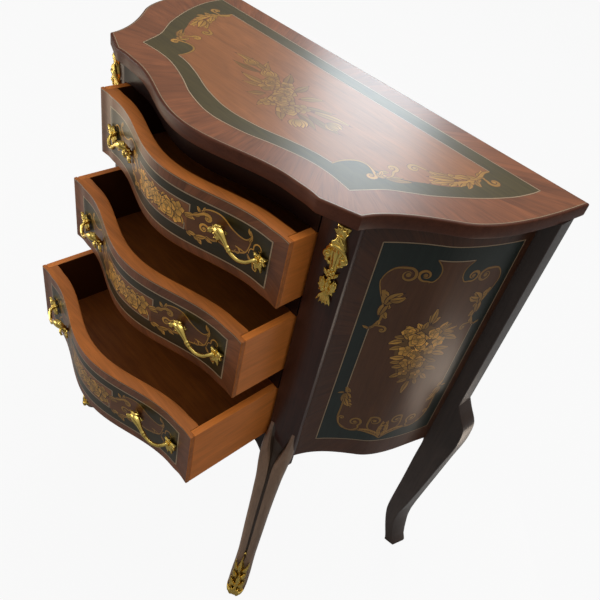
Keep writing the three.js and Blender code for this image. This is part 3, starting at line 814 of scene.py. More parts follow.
                    level = mix(*cut["shade"], share ** 0.6)
                shade.data[place].uv = (level, cut["tone"])
                place += 1
        finish_object(name, mesh, body, angle=None)
        mesh.normals_split_custom_set_from_vertices([tuple(n) for _, n in placed])


# Castings: gilt brass built from leaves, tubes and beads

UP = 1.57


class Casting:
    """A casting in its own frame: across, outward and up, in millimetres."""

    def __init__(self):
        self.points = []
        self.faces = []
        # Painted light of each point: 1 where painted lit, 0 in painted shade.
        self.painted_light = []

    def skin(self, rows):
        """A closed skin over rows of (point, painted light)."""
        start = len(self.points)
        points, faces = loft([[Vector(point) for point, _ in row] for row in rows])
        self.points += points
        self.faces += [tuple(start + i for i in face) for face in faces]
        self.painted_light += [level for row in rows for _, level in row]

    def tube(self, path, radius, sides=8, flutes=0, depth=0.0, twist=0.0, painted_light=0.8):
        """A round bar of changing thickness along a line."""
        path = [Vector(p) for p in path]
        rows = []
        side = Vector((0, 0, 1))
        for i, p in enumerate(path):
            ahead = (path[min(i + 1, len(path) - 1)] - path[max(i - 1, 0)]).normalized()
            side = side - ahead * side.dot(ahead)
            if side.length < 1e-4:
                side = Vector((1, 0, 0)) - ahead * ahead.x
            side.normalize()
            up = ahead.cross(side)
            t = i / (len(path) - 1)
            thick = radius(t) if callable(radius) else radius
            row = []
            for k in range(sides):
                angle = 2 * math.pi * k / sides
                wave = math.cos(flutes * angle + twist * t) if flutes else 0.0
                reach = thick * (1 + depth * wave)
                ray = side * math.cos(angle) + up * math.sin(angle)
                # Painted shade in the flutes' hollows, painted light on their ridges.
                row.append((p + ray * reach, painted_light + 0.45 * wave))
            rows.append(row)
        self.skin(rows)

    def bead(self, centre, radius, flat=1.0, painted_light=0.95):
        """A small ball, painted darker as shade where it meets the surface."""
        centre = Vector(centre)
        rows = []
        for a in spread(0, math.pi, 6)[1:-1]:
            across, out = radius * math.sin(a), radius * math.cos(a) * flat
            level = painted_light * (0.55 + 0.45 * math.sin(a / 2 + UP))
            rows.append([
                (centre + Vector((across * math.cos(b), out, across * math.sin(b))), level)
                for b in spread(0, 2 * math.pi, 8)[:-1]])
        self.skin(rows)

    def leaf(self, foot, angle, length, width, out, lift, thick, bend, lobes, shares=LEAF, tip=0.0):
        """A cast leaf with a groove along its middle and lobes down its edges."""
        steps, half = 14, 4
        foot = Vector(foot)
        place = Vector((foot.x, foot.z))
        rows = []
        for i in range(steps + 1):
            t = i / steps
            ahead = pointing(angle + bend * (t - 0.5))
            side = Vector((-ahead.y, ahead.x))
            at = t * (len(shares) - 1)
            low = min(int(at), len(shares) - 2)
            share = max(mix(shares[low], shares[low + 1], at - low), 0.05)
            scallop = 1 - 0.26 * (0.5 + 0.5 * math.cos(2 * math.pi * lobes * t))
            height = foot.y + out + lift * math.sin(math.pi * t) + tip * max(t - 0.6, 0) ** 2 * 6
            top, under = [], []
            for j in range(-half, half + 1):
                v = j / half
                crown = thick * (1 - v * v) ** 0.5
                crease = math.exp(-(v / 0.16) ** 2)
                veins = 0.5 + 0.5 * math.cos(2 * math.pi * lobes * t + abs(v) * 2.6)
                rise = height + crown * (1 - 0.42 * crease) - 0.22 * thick * (1 - veins)
                p = place + side * (width / 2 * share * scallop * v)
                # Painted light on the veins, painted shade in the middle crease and near the foot.
                level = 0.35 + 0.6 * veins * (1 - 0.75 * crease) + 0.2 * abs(v)
                if t < 0.12:
                    level *= 0.55
                top.append(((p.x, rise, p.y), min(level, 1.0)))
                # The underside is left in painted shade.
                under.append(((p.x, min(rise - 0.5, height - thick * 0.7), p.y), 0.1))
            rows.append(top + under[::-1])
            place = place + ahead * (length / steps)
        self.skin(rows)

    def shell(self, stations, flutes, depth, level=0.55):
        """A swelling, fluted body through stations of height, half width and rise."""
        steps = 18
        rows = []
        for z, half, rise in resample(smooth_line(stations, 5), 4 * len(stations)):
            row = []
            for v in spread(-1.0, 1.0, steps):
                flute = math.cos(math.pi * flutes * v)
                height = rise * (1 - v * v) ** 0.5 if abs(v) < 1 else -0.6
                # Painted shade in the flutes and on the back rows, painted light on the crowns.
                row.append(((v * half, height + depth * 0.4 * flute * (1 - v * v), z), level + 0.4 * flute))
            rows.append(row + [((v * half, -0.8, z), 0.1) for v in (1.0, 0.0, -1.0)])
        self.skin(rows)

    def curl(self, centre, radius, start, turns, hand, thick, out, rise):
        """A scrolled bar that ends in a bead."""
        path = []
        for t in spread(0.0, 1.0, max(int(14 * turns), 8)):
            x, z = around(centre, radius * (1 - 0.82 * t), start + hand * 2 * math.pi * turns * t)
            path.append((x, out + rise * t, z))
        self.tube(path, lambda t: thick * (0.75 + 0.5 * math.sin(math.pi * t)), 7, painted_light=0.85)
        self.bead((centre[0], out + rise, centre[1]), thick * 1.35)

    def build(self, name, place, body, stands_for):
        """The casting as a piece, set in place point by point."""
        mesh = mesh_of(name, [place(*p) for p in self.points], self.faces, ("gilt",))
        # The painted light and shade of each point, for the gilding to read.
        painted_light = mesh.attributes.new("painted_light", "FLOAT", "POINT")
        painted_light.data.foreach_set("value", [clamped(v) for v in self.painted_light])
        piece = finish_object(name, mesh, body, (stands_for,), None)
        if sizes().casting_detail:
            smooth = piece.modifiers.new("smooth casting", "SUBSURF")
            smooth.levels = smooth.render_levels = sizes().casting_detail


def pull_casting():
    """An S-shaped pull: a leafy body at its inner end, a slim bar and a cluster of leaves."""
    cast = Casting()
    steps = 66
    path = resample(smooth_line((
        (-34, 0.0, 3), (-35, 4.5, 9), (-32, 9.5, 13.5), (-24.5, 13.5, 13.5), (-17, 16.2, 8.8),
        (-10.5, 17.8, 3), (-3.5, 18.2, -3.2), (6, 17.3, -6.8), (16, 14.8, -5), (21.5, 11.0, -1.4),
        (24.5, 5, -0.5), (25.5, 0.0, -0.5)), 8), steps)

    def thickness(t):
        body = 2.5 + 3.1 * math.exp(-((t - 0.23) / 0.12) ** 2) + 0.5 * max(0.3 - t, 0)
        rings = 1.0 * math.exp(-((t - 0.47) / 0.012) ** 2) + 1.1 * math.exp(-((t - 0.51) / 0.012) ** 2)
        return body + rings + 0.8 * max(t - 0.85, 0) / 0.15

    cast.tube(path, thickness, 14, 5, 0.09, 5.0, 0.78)
    for angle, length, wide, bend in (
            (1.9, 11, 7, 0.9), (2.7, 11, 7.5, 0.7), (3.3, 11, 7, -0.5), (3.95, 13, 8, -0.7),
            (4.6, 14, 7.5, 0.6), (5.3, 9, 6, 0.5)):
        cast.leaf((-31.5, 0.4, 3), angle, length, wide, 1.0, 2.8, 2.2, bend, 3, tip=1.6)
    for at, angle, length, bend in (
            (0.06, 2.3, 9, 0.8), (0.11, 0.05, 17, -0.9), (0.13, 0.75, 12, -1.2), (0.17, -0.5, 17, -0.2),
            (0.15, 3.9, 12, 0.6)):
        place = path[int(at * steps)]
        cast.leaf((place.x, place.y - 0.8, place.z), angle, length, 8.5, 3.2, 2.0, 2.2, bend, 3)
    for angle, length, wide, bend in (
            (0.5, 17.5, 9.5, 0.3), (-0.1, 14.5, 9, -0.4), (-0.95, 17, 9.5, -0.3), (-1.45, 18.5, 9, 0.3),
            (-2.0, 14, 8, 0.4), (1.3, 12, 8, 0.5), (2.4, 10, 7, 0.7)):
        cast.leaf((25, 0.4, -0.5), angle, length, wide, 1.0, 2.6, 2.6, bend, 3, tip=1.8)
    cast.bead((25.5, 6.4, -0.5), 3.6, 0.8)
    cast.bead((-33, 6.0, 4), 3.6, 0.8)
    return cast


def corner_mount_casting():
    """A drop: a flared plume, a bell with volutes, a stem, a cluster of leaves and a tassel."""
    cast = Casting()
    cast.shell(((102, 5.2, 3.6), (105, 6.0, 4.6), (109, 7.6, 5.0), (113, 8.8, 4.2), (115, 8.4, 2.4)), 5, 0.9)
    for angle, reach in ((0.75, 12.5), (1.16, 14), (UP, 14.5), (1.98, 14), (2.39, 12.5)):
        cast.leaf((0, 2.6, 101.5), angle, reach, 6.6, 0.8, 2.0, 1.8, (UP - angle) * -0.6, 2, PETAL, tip=2.0)
    cast.tube(((-6.0, 1.6, 103), (-3.2, 5.2, 102.2), (0, 6.4, 102), (3.2, 5.2, 102.2), (6.0, 1.6, 103)), 1.5)
    cast.shell(((79, 9.0, 4.6), (84, 10.0, 6.8), (89, 9.6, 7.8), (94, 8.0, 7.2), (99, 6.2, 5.6),
                (103, 5.4, 4.2)), 5, 1.3)
    for angle in (-0.98, -1.28, -UP, -1.86, -2.16):
        cast.leaf((0, 5.0, 102), angle, 18.5, 5.6, 0.6, 2.2, 1.8, 0.0, 3, PETAL)
    arch = smooth_line(((-12.0, 2.6, 76), (-11.0, 5.6, 83), (-6, 8.4, 89), (0, 9.2, 91), (6, 8.4, 89),
                        (11.0, 5.6, 83), (12.0, 2.6, 76)), 5)
    cast.tube(arch, lambda t: 1.5 + 1.0 * math.sin(math.pi * t), 9, painted_light=1.0)
    cast.shell(((50, 5.0, 3.4), (60, 5.6, 4.4), (68, 7.4, 5.4), (76, 9.4, 6.0), (84, 9.8, 5.0)), 3, 1.0)
    for hand in (-1, 1):
        cast.curl((hand * 10.0, 74), 5.0, UP + hand * 0.6, 1.1, -hand, 2.5, 3.4, 2.4)
        cast.leaf((hand * 11.0, 1.2, 82), -UP - hand * 0.2, 15, 7.0, 1.0, 2.4, 2.2, hand * 0.8, 3)
        cast.bead((hand * 12.0, 4.2, 72), 3.2)
        cast.bead((hand * 9.6, 4.4, 67.5), 2.9)
        cast.leaf((hand * 2.2, 1.0, 62), UP - hand, 9, 5.0, 1.0, 1.8, 1.6, hand * 0.7, 2)
        cast.leaf((hand * 2.0, 1.4, 46), UP - hand * 0.7, 11.5, 5.6, 0.8, 2.0, 1.8, hand * 0.7, 2)
        for angle, reach, wide in ((2.2, 17, 7.4), (2.75, 12, 6.8), (3.5, 10, 6.4), (1.85, 19, 7)):
            turned = angle if hand < 0 else math.pi - angle
            cast.leaf((hand, 1.0, 27), turned, reach, wide, 0.8, 3.2, 2.0, hand * 0.9, 3, tip=1.8)
        cast.curl((hand * 7.8, 37), 3.2, UP - hand * 1.2, 1.0, hand, 1.5, 3.2, 1.8)
    for x, z, radius in ((0, 57, 3.4), (-3.0, 52.5, 3.0), (3.0, 52.5, 3.0), (0, 49.5, 3.2), (-3.2, 46.5, 2.6),
                         (3.2, 46.5, 2.6), (0, 43, 3.0), (-1.8, 39, 2.4), (1.8, 39, 2.4)):
        cast.bead((x, 3.6, z), radius)
    cast.leaf((0, 2.4, 26), UP, 19, 7.0, 1.0, 2.8, 2.0, 0.0, 3)
    cast.shell(((4, 7.0, 2.0), (8, 7.2, 3.4), (14, 6.0, 4.4), (20, 4.2, 4.4), (26, 3.0, 3.8)), 5, 1.2)
    for angle in (-1.12, -1.35, -UP, -1.79, -2.02):
        cast.leaf((0, 3.0, 25), angle, 21.5, 5.0, 0.4, 1.8, 1.6, (angle + UP) * -0.5, 3, PETAL, tip=0.6)
    cast.tube(((-4.0, 2.4, 26), (0, 5.4, 25.6), (4.0, 2.4, 26)), 1.7)
    cast.bead((0, 5.6, 29), 3.0)
    return cast


def foot_mount_casting():
    """A leafy sheath on the foot, dark beads as painted shade of its piercings, and a bead at the groove's
    end.
    """
    cast = Casting()
    cast.shell(((0.5, 9.0, 1.8), (5, 11.0, 2.4), (14, 11.6, 1.7), (28, 10.8, 1.6), (42, 8.6, 1.5),
                (56, 6.2, 1.4), (68, 3.4, 1.3), (74, 1.2, 1.0)), 4, 0.7, 0.12)
    for angle, reach in ((0.3, 10), (0.8, 14), (1.2, 17), (UP, 20), (1.94, 17), (2.34, 14), (2.84, 10)):
        cast.leaf((0, 1.6, 2), angle, reach, 7.4, 0.8, 3.8, 2.0, (angle - UP) * -0.5, 2, PETAL)
    cast.bead((0, 3.4, 4.5), 6.4, 0.8)
    for hand in (-1, 1):
        cast.curl((hand * 6.4, 26), 5.0, UP + hand * 1.7, 1.15, hand, 1.7, 2.4, 1.6)
        # These dark beads stand in for the piercings: painted shade, with no painted light.
        cast.bead((hand * 6.4, 1.4, 17.5), 2.8, 0.5, 0.0)
        cast.bead((hand * 4.6, 1.4, 39), 2.4, 0.5, 0.0)
        for height, reach, wide, turn in ((24, 21, 8.6, 0.5), (42, 20, 8.0, 0.42), (57, 25, 7.4, 0.34)):
            heading = UP - hand * turn
            cast.leaf((hand, 1.0, height), heading, reach, wide, 1.0, 4.4, 2.6, hand * 1.1, 2, tip=2.2)
        cast.leaf((hand * 3.0, 1.0, 10), UP - hand * 0.95, 15, 7.6, 1.0, 3.6, 2.4, hand * 1.2, 2, tip=1.6)
        cast.leaf((hand * 9.5, 0.8, 6), UP - hand * 0.1, 20, 5.4, 0.5, 1.2, 1.4, hand * -0.4, 3)
    cast.leaf((0, 2.4, 22), UP, 34, 8.0, 1.2, 4.4, 2.8, 0.3, 3)
    cast.leaf((0, 1.6, 48), UP, 42, 7.0, 1.2, 4.0, 2.6, -0.3, 3)
    cast.bead((0, 3.2, 24), 4.0)
    cast.bead((0, 1.6, 93), 2.2)
    return cast


# Designs of the veneer work

def board_marquetry(edge):
    """Border, olive band, stringing, end scrolls and a spray of flowers on the top board."""
    work = Marquetry(11, ("field", 0.45), (-0.3, 0.25), 0.75)
    front, side = board_outline()
    loop = inset_loop(closed_loop(front + side), edge)
    half = loop[:len(front) + len(side)]
    work.cut(loop, "olive", grain=0.0, tone=0.45)
    inner_front = smooth_line(((0, -6.5), (18, -5), (54.7, 4), (91, 19), (131, 31.5), (164, 35), (200, 31.5)))
    inner_side = smooth_line((
        (200, 31.5), (207, 47), (219, 72), (238, 95), (255.4, 116), (284.6, 163.6), (303, 204), (311, 235),
        (313, 254.5)))
    back = [(313, 254.5), (0, 254.5)]
    start = len(work.cuts)
    for outer, inner in (
            (half[:len(front) + 1], inner_front), (half[len(front):], inner_side),
            ([half[-1], (0, half[-1].y)], back)):
        work.crossband(outer, inner, (0.3, 0.75))
    work.mirror(start)

    front_string = smooth_line(((0, 22), (18, 23), (54.7, 30.4), (91, 43), (124, 52), (151, 55)))
    edge_line = smooth_line((
        (151, 55), (151, 66), (154, 77), (160, 87), (170, 91.4), (181, 90), (191, 93), (201, 90), (209, 103),
        (222, 115), (232, 127), (244, 140), (257, 160), (260, 180), (257, 195), (256, 205), (252, 217),
        (254, 229)))
    field = front_string[:-1] + edge_line + [Vector((0, 229))]
    work.cut(closed_loop(field), "field", grain=0.0, tone=0.8)

    start = len(work.cuts)
    for line in (inner_front, inner_side, back):
        work.string(line)
    work.string(front_string, 1.4)
    work.string([(254, 229), (0, 229)], 1.4)
    # A pale line along the board's rounded arris: a painted highlight.
    work.string(offset_line(half, 0.9), 0.9, shade=0.8)
    work.scroll(((150.5, 54), (150.5, 65), (153.5, 77), (160, 87.3), (170, 91.6), (181, 90), (189, 86)),
                2.8, (0.5, 0.4))
    work.volute((190.5, 78), 6.5, 1.5, 1.2, -1, 4.4, ((172, 91.6), (181, 89.5)))
    work.fronds((
        (189, 86, 204, 96, 12, 0.6), (190, 92, 198, 104, 9, -0.5), (199, 88, 225, 117, 9, 0.5),
        (200, 92, 213, 112, 7, 0.5), (196, 86, 188, 99, 7, 0.4)))
    work.volute((191.5, 114), 7.0, -0.6, 1.25, 1, 4.4, ((202, 92), (203, 101)))
    work.volute((203.5, 141), 7.5, 1.9, 1.25, 1, 4.6, ((226, 150), (216, 152), (207, 150)))
    work.acanthus(((256, 204), (257, 188), (252, 170), (243, 153), (230, 137)), 21, 1, 6)
    work.acanthus(((256, 200), (249, 182), (237, 166), (221, 152)), 19, -1, 5)
    work.fronds((
        (248, 172, 212, 152, 13, -0.4), (248, 170, 236, 128, 13, 0.5), (248, 171, 222, 139, 15, 0.1),
        (255, 190, 238, 172, 12, 0.6), (256, 182, 266, 166, 9, -0.6),
        (258, 192, 273, 188, 9, 0.7), (256, 200, 252, 219, 10, -0.5), (255, 205, 245, 222, 8, 0.6)))
    work.scroll(((254, 186), (256.5, 196), (256, 206), (252.5, 218), (254, 229)), 4.6, (0.5, 0.4))
    work.volute((272.5, 212), 8.2, -2.4, 1.15, 1, 4.4, ((256, 198), (259, 207), (263, 206)))
    work.mirror(start)

    work.rim_shade, work.glow = 0.6, (-0.4, 0.14)
    work.fronds((
        (-70, 140, -138, 136, 15, 0.5), (-64, 134, -118, 122, 13, -0.6), (-50, 130, -92, 170, 15, -0.5),
        (-60, 144, -112, 154, 12, -0.5), (-30, 128, -84, 148, 17, 0.5), (-30, 118, -82, 108, 15, -0.5),
        (-22, 134, -52, 172, 15, 0.4), (-4, 134, -12, 172, 14, 0.4), (14, 126, 34, 160, 15, -0.4),
        (28, 114, 66, 148, 15, 0.4), (44, 118, 104, 140, 15, -0.5), (48, 110, 112, 116, 14, 0.5),
        (40, 98, 88, 88, 14, -0.5), (24, 90, 52, 66, 14, 0.4), (2, 88, 6, 62, 13, 0.4),
        (-16, 98, -30, 74, 14, -0.4), (-30, 106, -58, 88, 13, 0.4)), (0.35, 0.72))
    work.tulip((-88, 138), 2.9, 22)
    work.tulip((78, 118), 0.1, 24)
    work.tulip((-50, 134), 2.6, 24)
    work.tulip((54, 88), -0.6, 25)
    work.flowers(
        work.daisy, ((-30, 112, 15, 0.3), (36, 112, 14, 0.8), (4, 84, 13, 0.2), (-22, 140, 12, 0.5)), 0.75)
    work.flowers(
        work.rose, ((-38, 126, 15, 0.2), (-8, 124, 18, 0.6), (30, 94, 17, 0.9), (6, 106, 20, 0.5)), 0.75)
    return work


def drawer_marquetry(height, seed, arris, painted_shade):
    """Border, olive bands, roses between two strings and scrolls round each pull."""
    # Painted shade on the lower drawers: their flower veneers and scrolls are duller, their olive band nearer
    # the field.
    work = Marquetry(seed, ("line", 0.5), (0.7 - 0.8 * painted_shade, 1.5 - 1.1 * painted_shade), 0.75 - 0.15 * painted_shade)
    k = height / 98.0
    low, high, edge = arris, height - arris, FRONT_HALF - arris

    def at(*points):
        """Points of the design, at the height of this drawer."""
        return [(x, y * k) for x, y in points]

    work.cut(((-edge, low), (edge, low), (edge, high), (-edge, high)), "olive", grain=0.0,
             tone=-0.5 + 0.15 * painted_shade)
    start = len(work.cuts)
    outer = [(0, low), (edge, low), (edge, high), (0, high)]
    inner = at((0, 13.5), (168.5, 13.5), (168.5, 82), (0, 82))
    for i in range(3):
        work.crossband(outer[i:i + 2], inner[i:i + 2], (0.0, 0.6))
    work.mirror(start)
    work.cut(at((-53, 30.5), (53, 30.5), (53, 69), (-53, 69)), "field", grain=0.0, tone=0.6)
    start = len(work.cuts)
    upper = smooth_line(at(
        (50, 57), (57, 59), (63, 62), (67.3, 66), (74.3, 72.8), (83.5, 75.5), (92.9, 75.3), (100.9, 71.4),
        (109.5, 64.7), (120.2, 60.3), (130.6, 60.3), (137.8, 68.9), (134.5, 75.1)))
    lower = smooth_line(at(
        (134.5, 75.1), (139, 62), (135, 48), (128, 40), (116, 36), (104, 33), (94, 36), (86, 36), (78, 34),
        (70, 29), (60, 28), (53, 29), (50, 38)))
    work.cut(upper[:-1] + lower[:-1], "field", grain=0.2, tone=-0.1)
    work.string(inner, 1.8)
    work.string(at((0, 30.5), (47, 30.5), (47, 40)), 1.6)
    work.string(at((0, 69), (53, 69), (53, 58.5)), 1.6)
    # A pale line along the front's top arris: a painted highlight.
    work.string([(0, high - 1.0), (edge, high - 1.0)], 1.2, 0.9)
    work.scroll(upper[20:], 2.1, (0.7, 0.7), 0.6)
    work.volute((74, 45.4 * k), 6.4, 0.6, 1.3, 1, 3.0, at((94, 44), (91, 51), (84, 53)))
    work.scroll(at((94, 44), (92, 37), (86, 34), (78, 36)), 2.4, (0.5, 0.5), 0.65)
    work.scroll(at((86, 35), (96, 37), (108, 33), (122, 37), (132, 43), (136, 54), (138, 66)),
                2.1, (0.6, 0.6), 0.6)
    work.volute((119, 38 * k), 6.0, 1.9, 0.9, -1, 1.9, at((136, 52), (132, 43), (125, 43)), False)
    work.volute((150, 58 * k), 8.2, -2.6, 0.85, -1, 1.9, at((136, 44), (138, 52)), False)
    work.volute((150, 30 * k), 5.5, 2.6, 0.8, 1, 1.7, at((134, 42), (139, 37)), False)
    work.fronds((
        (134, 58, 139, 71, 4.5, 0.5), (137, 68, 132, 79, 4.5, -0.6), (134, 44, 144, 33, 4.0, 0.5),
        (68, 29, 74, 20, 6.5, 0.5), (60, 28.5, 70, 22, 6, -0.6), (76, 34, 88, 30, 5, 0.5),
        (50, 30, 58, 24, 5, -0.5), (52, 31, 66, 31, 7, 0.4), (62, 29, 80, 36, 7.5, 0.5),
        (67, 64, 62, 73, 5, 0.5), (72, 68, 74, 76, 4, -0.5), (45, 50, 64, 50, 6.5, -0.9),
        (44, 53, 62, 61, 7.5, 0.6), (56, 57, 72, 66, 7, 0.4)), rise=k)
    work.volute((77.5, 61.5 * k), 5.6, 2.4, 1.2, -1, 4.4, at((52, 55.5), (60, 58), (68, 63), (74, 67)))
    work.mirror(start)
    work.fronds((
        (40, 48, 47, 36, 8, 0.4), (28, 52, 26, 66, 8, 0.4), (26, 40, 24, 33, 7, 0.4), (8, 56, 12, 66, 8, 0.4),
        (6, 42, 4, 33, 8, 0.4), (-10, 56, -14, 67, 9, 0.4), (-12, 40, -12, 33, 8, 0.4),
        (-34, 58, -31, 67, 8, 0.4), (-34, 38, -32, 33, 8, 0.4), (-46, 50, -56, 57, 8, 0.4),
        (-46, 44, -53, 36, 8, 0.4)), rise=k)
    work.flowers(work.daisy, (
        (34, 41.8, 10.5, 0.9), (-41, 42, 11, 0.5), (35.5, 54.5, 12, 0.2), (-40, 55, 12, 0.1)), rise=k)
    work.tulip((-6, 42 * k), 0.95, 24 * k)
    work.tulip((5, 58 * k), -1.9, 22 * k)
    work.flowers(work.rose, ((17.7, 48, 16.5, 0.3), (-23, 48.5, 17.5, 0.9), (-2.5, 50, 13, 0.5)), rise=k)
    return work


def panel_marquetry(width, outline):
    """Border, green band, cartouche, acanthus and a bouquet on a side panel."""
    work = Marquetry(37, ("line", 0.5), (-0.2, 0.3), 0.62)
    work.cut(outline, "green", grain=math.pi / 2, tone=0.45)
    left, right, foot, top = 33.5, 229.0, 360.0, 739.0
    string_top = smooth_line(((left, top), (PANEL_MIDDLE, top + 5.5), (right, top)), 8)
    string_foot = smooth_line(((left, foot), (PANEL_MIDDLE, foot + 4.5), (right, foot)), 8)
    bottom = [p for p in outline if p.y < 500]
    high = max(p.y for p in outline)
    # Low tones darken the side's border: painted shade on the side of the chest.
    for outer, inner in (
            (bottom, string_foot),
            ([(width, bottom[-1].y), (width, high)], [string_foot[-1], string_top[-1]]),
            ([(width, high), (0, high)], string_top[::-1]),
            ([(0, high), (0, bottom[0].y)], [string_top[0], string_foot[0]])):
        work.crossband(outer, inner, (-0.62, -0.45))
    neck = smooth_line(((105, 723), (112.5, 714), (115, 704), (111.5, 693), (104, 687.5)))
    shoulder = smooth_line((
        (104, 687.5), (92, 690), (84, 702), (72, 708), (59, 704), (49, 692), (46, 682), (50, 667),
        (56.5, 652), (63, 633), (64, 618), (60, 607), (53, 600)))
    lower = smooth_line((
        (53, 478), (54, 462), (55, 440), (55, 418), (59, 402), (68, 391), (82, 386), (100, 388), (116, 384),
        (130, 374)))
    contour = neck[:-1] + shoulder + lower
    mirrored = [(2 * PANEL_MIDDLE - p.x, p.y) for p in contour[::-1]]
    # A low tone darkens the side's field too: painted shade.
    work.cut(contour + mirrored[1:], "field", grain=math.pi / 2, tone=-0.42)

    work.string([(105, 723), (155, 723)], 1.4)
    start = len(work.cuts)
    work.scroll(neck, 1.7, (0.8, 0.8))
    work.volute((97.5, 698), 9.5, -1.1, 1.35, -1, 3.6, ((114, 698), (109, 690)))
    work.volute((77, 695), 11, 1.9, 1.4, -1, 3.8, ((46, 680), (49, 692), (59, 703)))
    work.scroll(shoulder[-38:], 1.7, (0.7, 0.4))
    work.acanthus(((54, 668), (59, 652), (64, 634), (63, 616), (55, 603)), 20, 1, 4)
    work.leaf((60, 622), 1.25, 34, 13, -0.7)
    work.leaf((62, 640), 0.85, 36, 15, -0.9)
    work.leaf((64, 652), 0.5, 26, 12, 1.2)
    work.volute((70, 601), 6.0, 1.8, 1.1, -1, 3.2, ((50, 600), (58, 607)))
    work.leaf((54, 602), 2.7, 13, 4.5, -0.6)
    work.string([(53, 601), (53, 478)], 1.3)
    work.leaf((53, 472), 3.3, 12, 4.5, 0.5)
    work.acanthus(((53, 484), (56, 468), (60, 452), (68, 440)), 17, 1, 4)
    work.leaf((54, 474), -1.25, 34, 13, 0.8)
    work.leaf((55, 462), -1.0, 26, 10, 0.9)
    work.scroll(((54, 470), (55, 440), (55, 416), (59, 402), (68, 391), (82, 386), (96, 390)),
                3.0, (0.3, 0.6))
    work.volute((61, 414), 5.4, -2.6, 1.0, -1, 3.0, ((70, 392), (60, 400)))
    work.volute((83, 407), 10, -0.9, 1.35, 1, 3.9, ((68, 391), (80, 387), (90, 392)))
    work.volute((112, 414), 10, 2.4, 1.25, -1, 3.9, ((126, 378), (118, 386), (104, 398)))
    work.acanthus(((94, 390), (106, 392), (118, 388), (128, 378)), 15, -1, 4)
    work.acanthus(((128, 376), (122, 388), (124, 402), (126, 414)), 15, -1, 4)
    work.scroll(((90, 388), (106, 386), (120, 380), (130, 371)), 3.2, (0.3, 0.6))
    work.mirror(start, PANEL_MIDDLE)
    for line in (string_top, string_foot, [string_top[0], string_foot[0]], [string_top[-1], string_foot[-1]]):
        work.string(line)

    work.glow = (0.0, 1.7)
    work.cut((
        (131, 616), (115, 612), (99, 600), (95, 580), (100, 556), (107, 535), (114, 517), (128, 507),
        (148, 510), (158, 528), (158, 550), (164, 572), (166, 590), (150, 608)), "gold", shade=(0.2, 0.2))
    work.fronds((
        (137, 510, 133.5, 475, 11, 0.3, 0.44), (134, 511, 117, 502, 9, 0.5, 0.40),
        (144, 511, 152, 495, 9, 0.4, 0.40), (120, 527, 102, 513, 10, -0.4, 0.44),
        (118, 539, 101, 532, 10, 0.4, 0.50), (150, 532, 179, 518, 11, -0.4, 0.50),
        (152, 520, 168, 503, 10, 0.4, 0.44), (147, 552, 173, 539, 11, 0.4, 0.60),
        (150, 563, 181, 548, 12, -0.4, 0.70), (154, 572, 184, 566, 10, 0.4, 0.70),
        (108, 575, 88, 565, 10, 0.4, 0.80), (116, 558, 92, 552, 11, -0.4, 0.80),
        (112, 546, 96, 541, 9, 0.4, 0.60), (105, 586, 84, 575, 11, 0.5, 1.00),
        (106, 594, 88, 592, 10, -0.4, 1.00), (158, 592, 191, 576, 12, -0.5, 0.80),
        (154, 600, 179, 598, 11, 0.4, 0.80), (152, 604, 181, 609, 5, 0.5, 0.80),
        (146, 606, 158, 622, 11, 0.4, 0.80), (150, 602, 168, 616, 9, -0.4, 0.80),
        (122, 608, 111, 621, 10, 0.4, 1.00), (125, 608, 127, 625, 10, -0.4, 1.00),
        (110, 606, 98, 613, 9, 0.4, 1.00), (131, 618, 123, 637, 8, 0.5, 0.80),
        (131, 618, 143, 632, 8, -0.5, 0.80), (131, 618, 130.5, 650, 10, 0.2, 1.00)), (0.3, 1.0))
    work.flowers(work.daisy, (
        (122, 528, 11, 0.3, 0.50), (143, 518, 12, 0.1, 0.44), (119, 545, 10, 0.8, 0.60),
        (147, 568, 11, 0.4, 0.70), (112, 568, 12, 0.2, 0.90), (156, 583, 12, 0.6, 0.90)))
    work.flowers(work.rose, (
        (136, 544, 15, 0.4, 0.70), (127, 563, 11, 0.9, 0.80), (144, 600, 12, 0.2, 1.00),
        (131, 578, 11, 0.5, 1.00), (109, 602, 13, 0.7, 1.00), (123, 591, 16, 0.3, 1.00)))
    return work


# Operators, one for each group of pieces

class COMMODE_OT_top_board(bpy.types.Operator):
    """Build the top board with its moulded edge and marquetry"""

    bl_idname = "commode.top_board"
    bl_label = "Top board"

    def execute(self, context):
        rounding = sizes().board_rounding / MM
        front, side = board_outline()
        loop = closed_loop(front + side)
        top = BOARD_HIGH.z
        profile = ((1.6, CASE_TOP), (0.5, CASE_TOP + 0.4), (0.0, CASE_TOP + 1.5), (0.0, top - rounding),
                   (rounding * 0.13, top - rounding * 0.5), (rounding * 0.5, top - rounding * 0.13),
                   (rounding, top))
        points, faces = loft([
            [Vector((p.x, p.y + STILE_PLANE, z)) for p in inset_loop(loop, inset)] for inset, z in profile])
        mesh = mesh_of("top_board_core", points, faces[:-1], ("edge",), outward=False)
        finish_object("top_board_core", mesh, "case", ("top_board",))

        def surface(u, v):
            return Vector((u, v + STILE_PLANE, top)), Vector((0, 0, 1))

        board_marquetry(rounding).lay("top_board_marquetry", "case", surface)
        return {"FINISHED"}


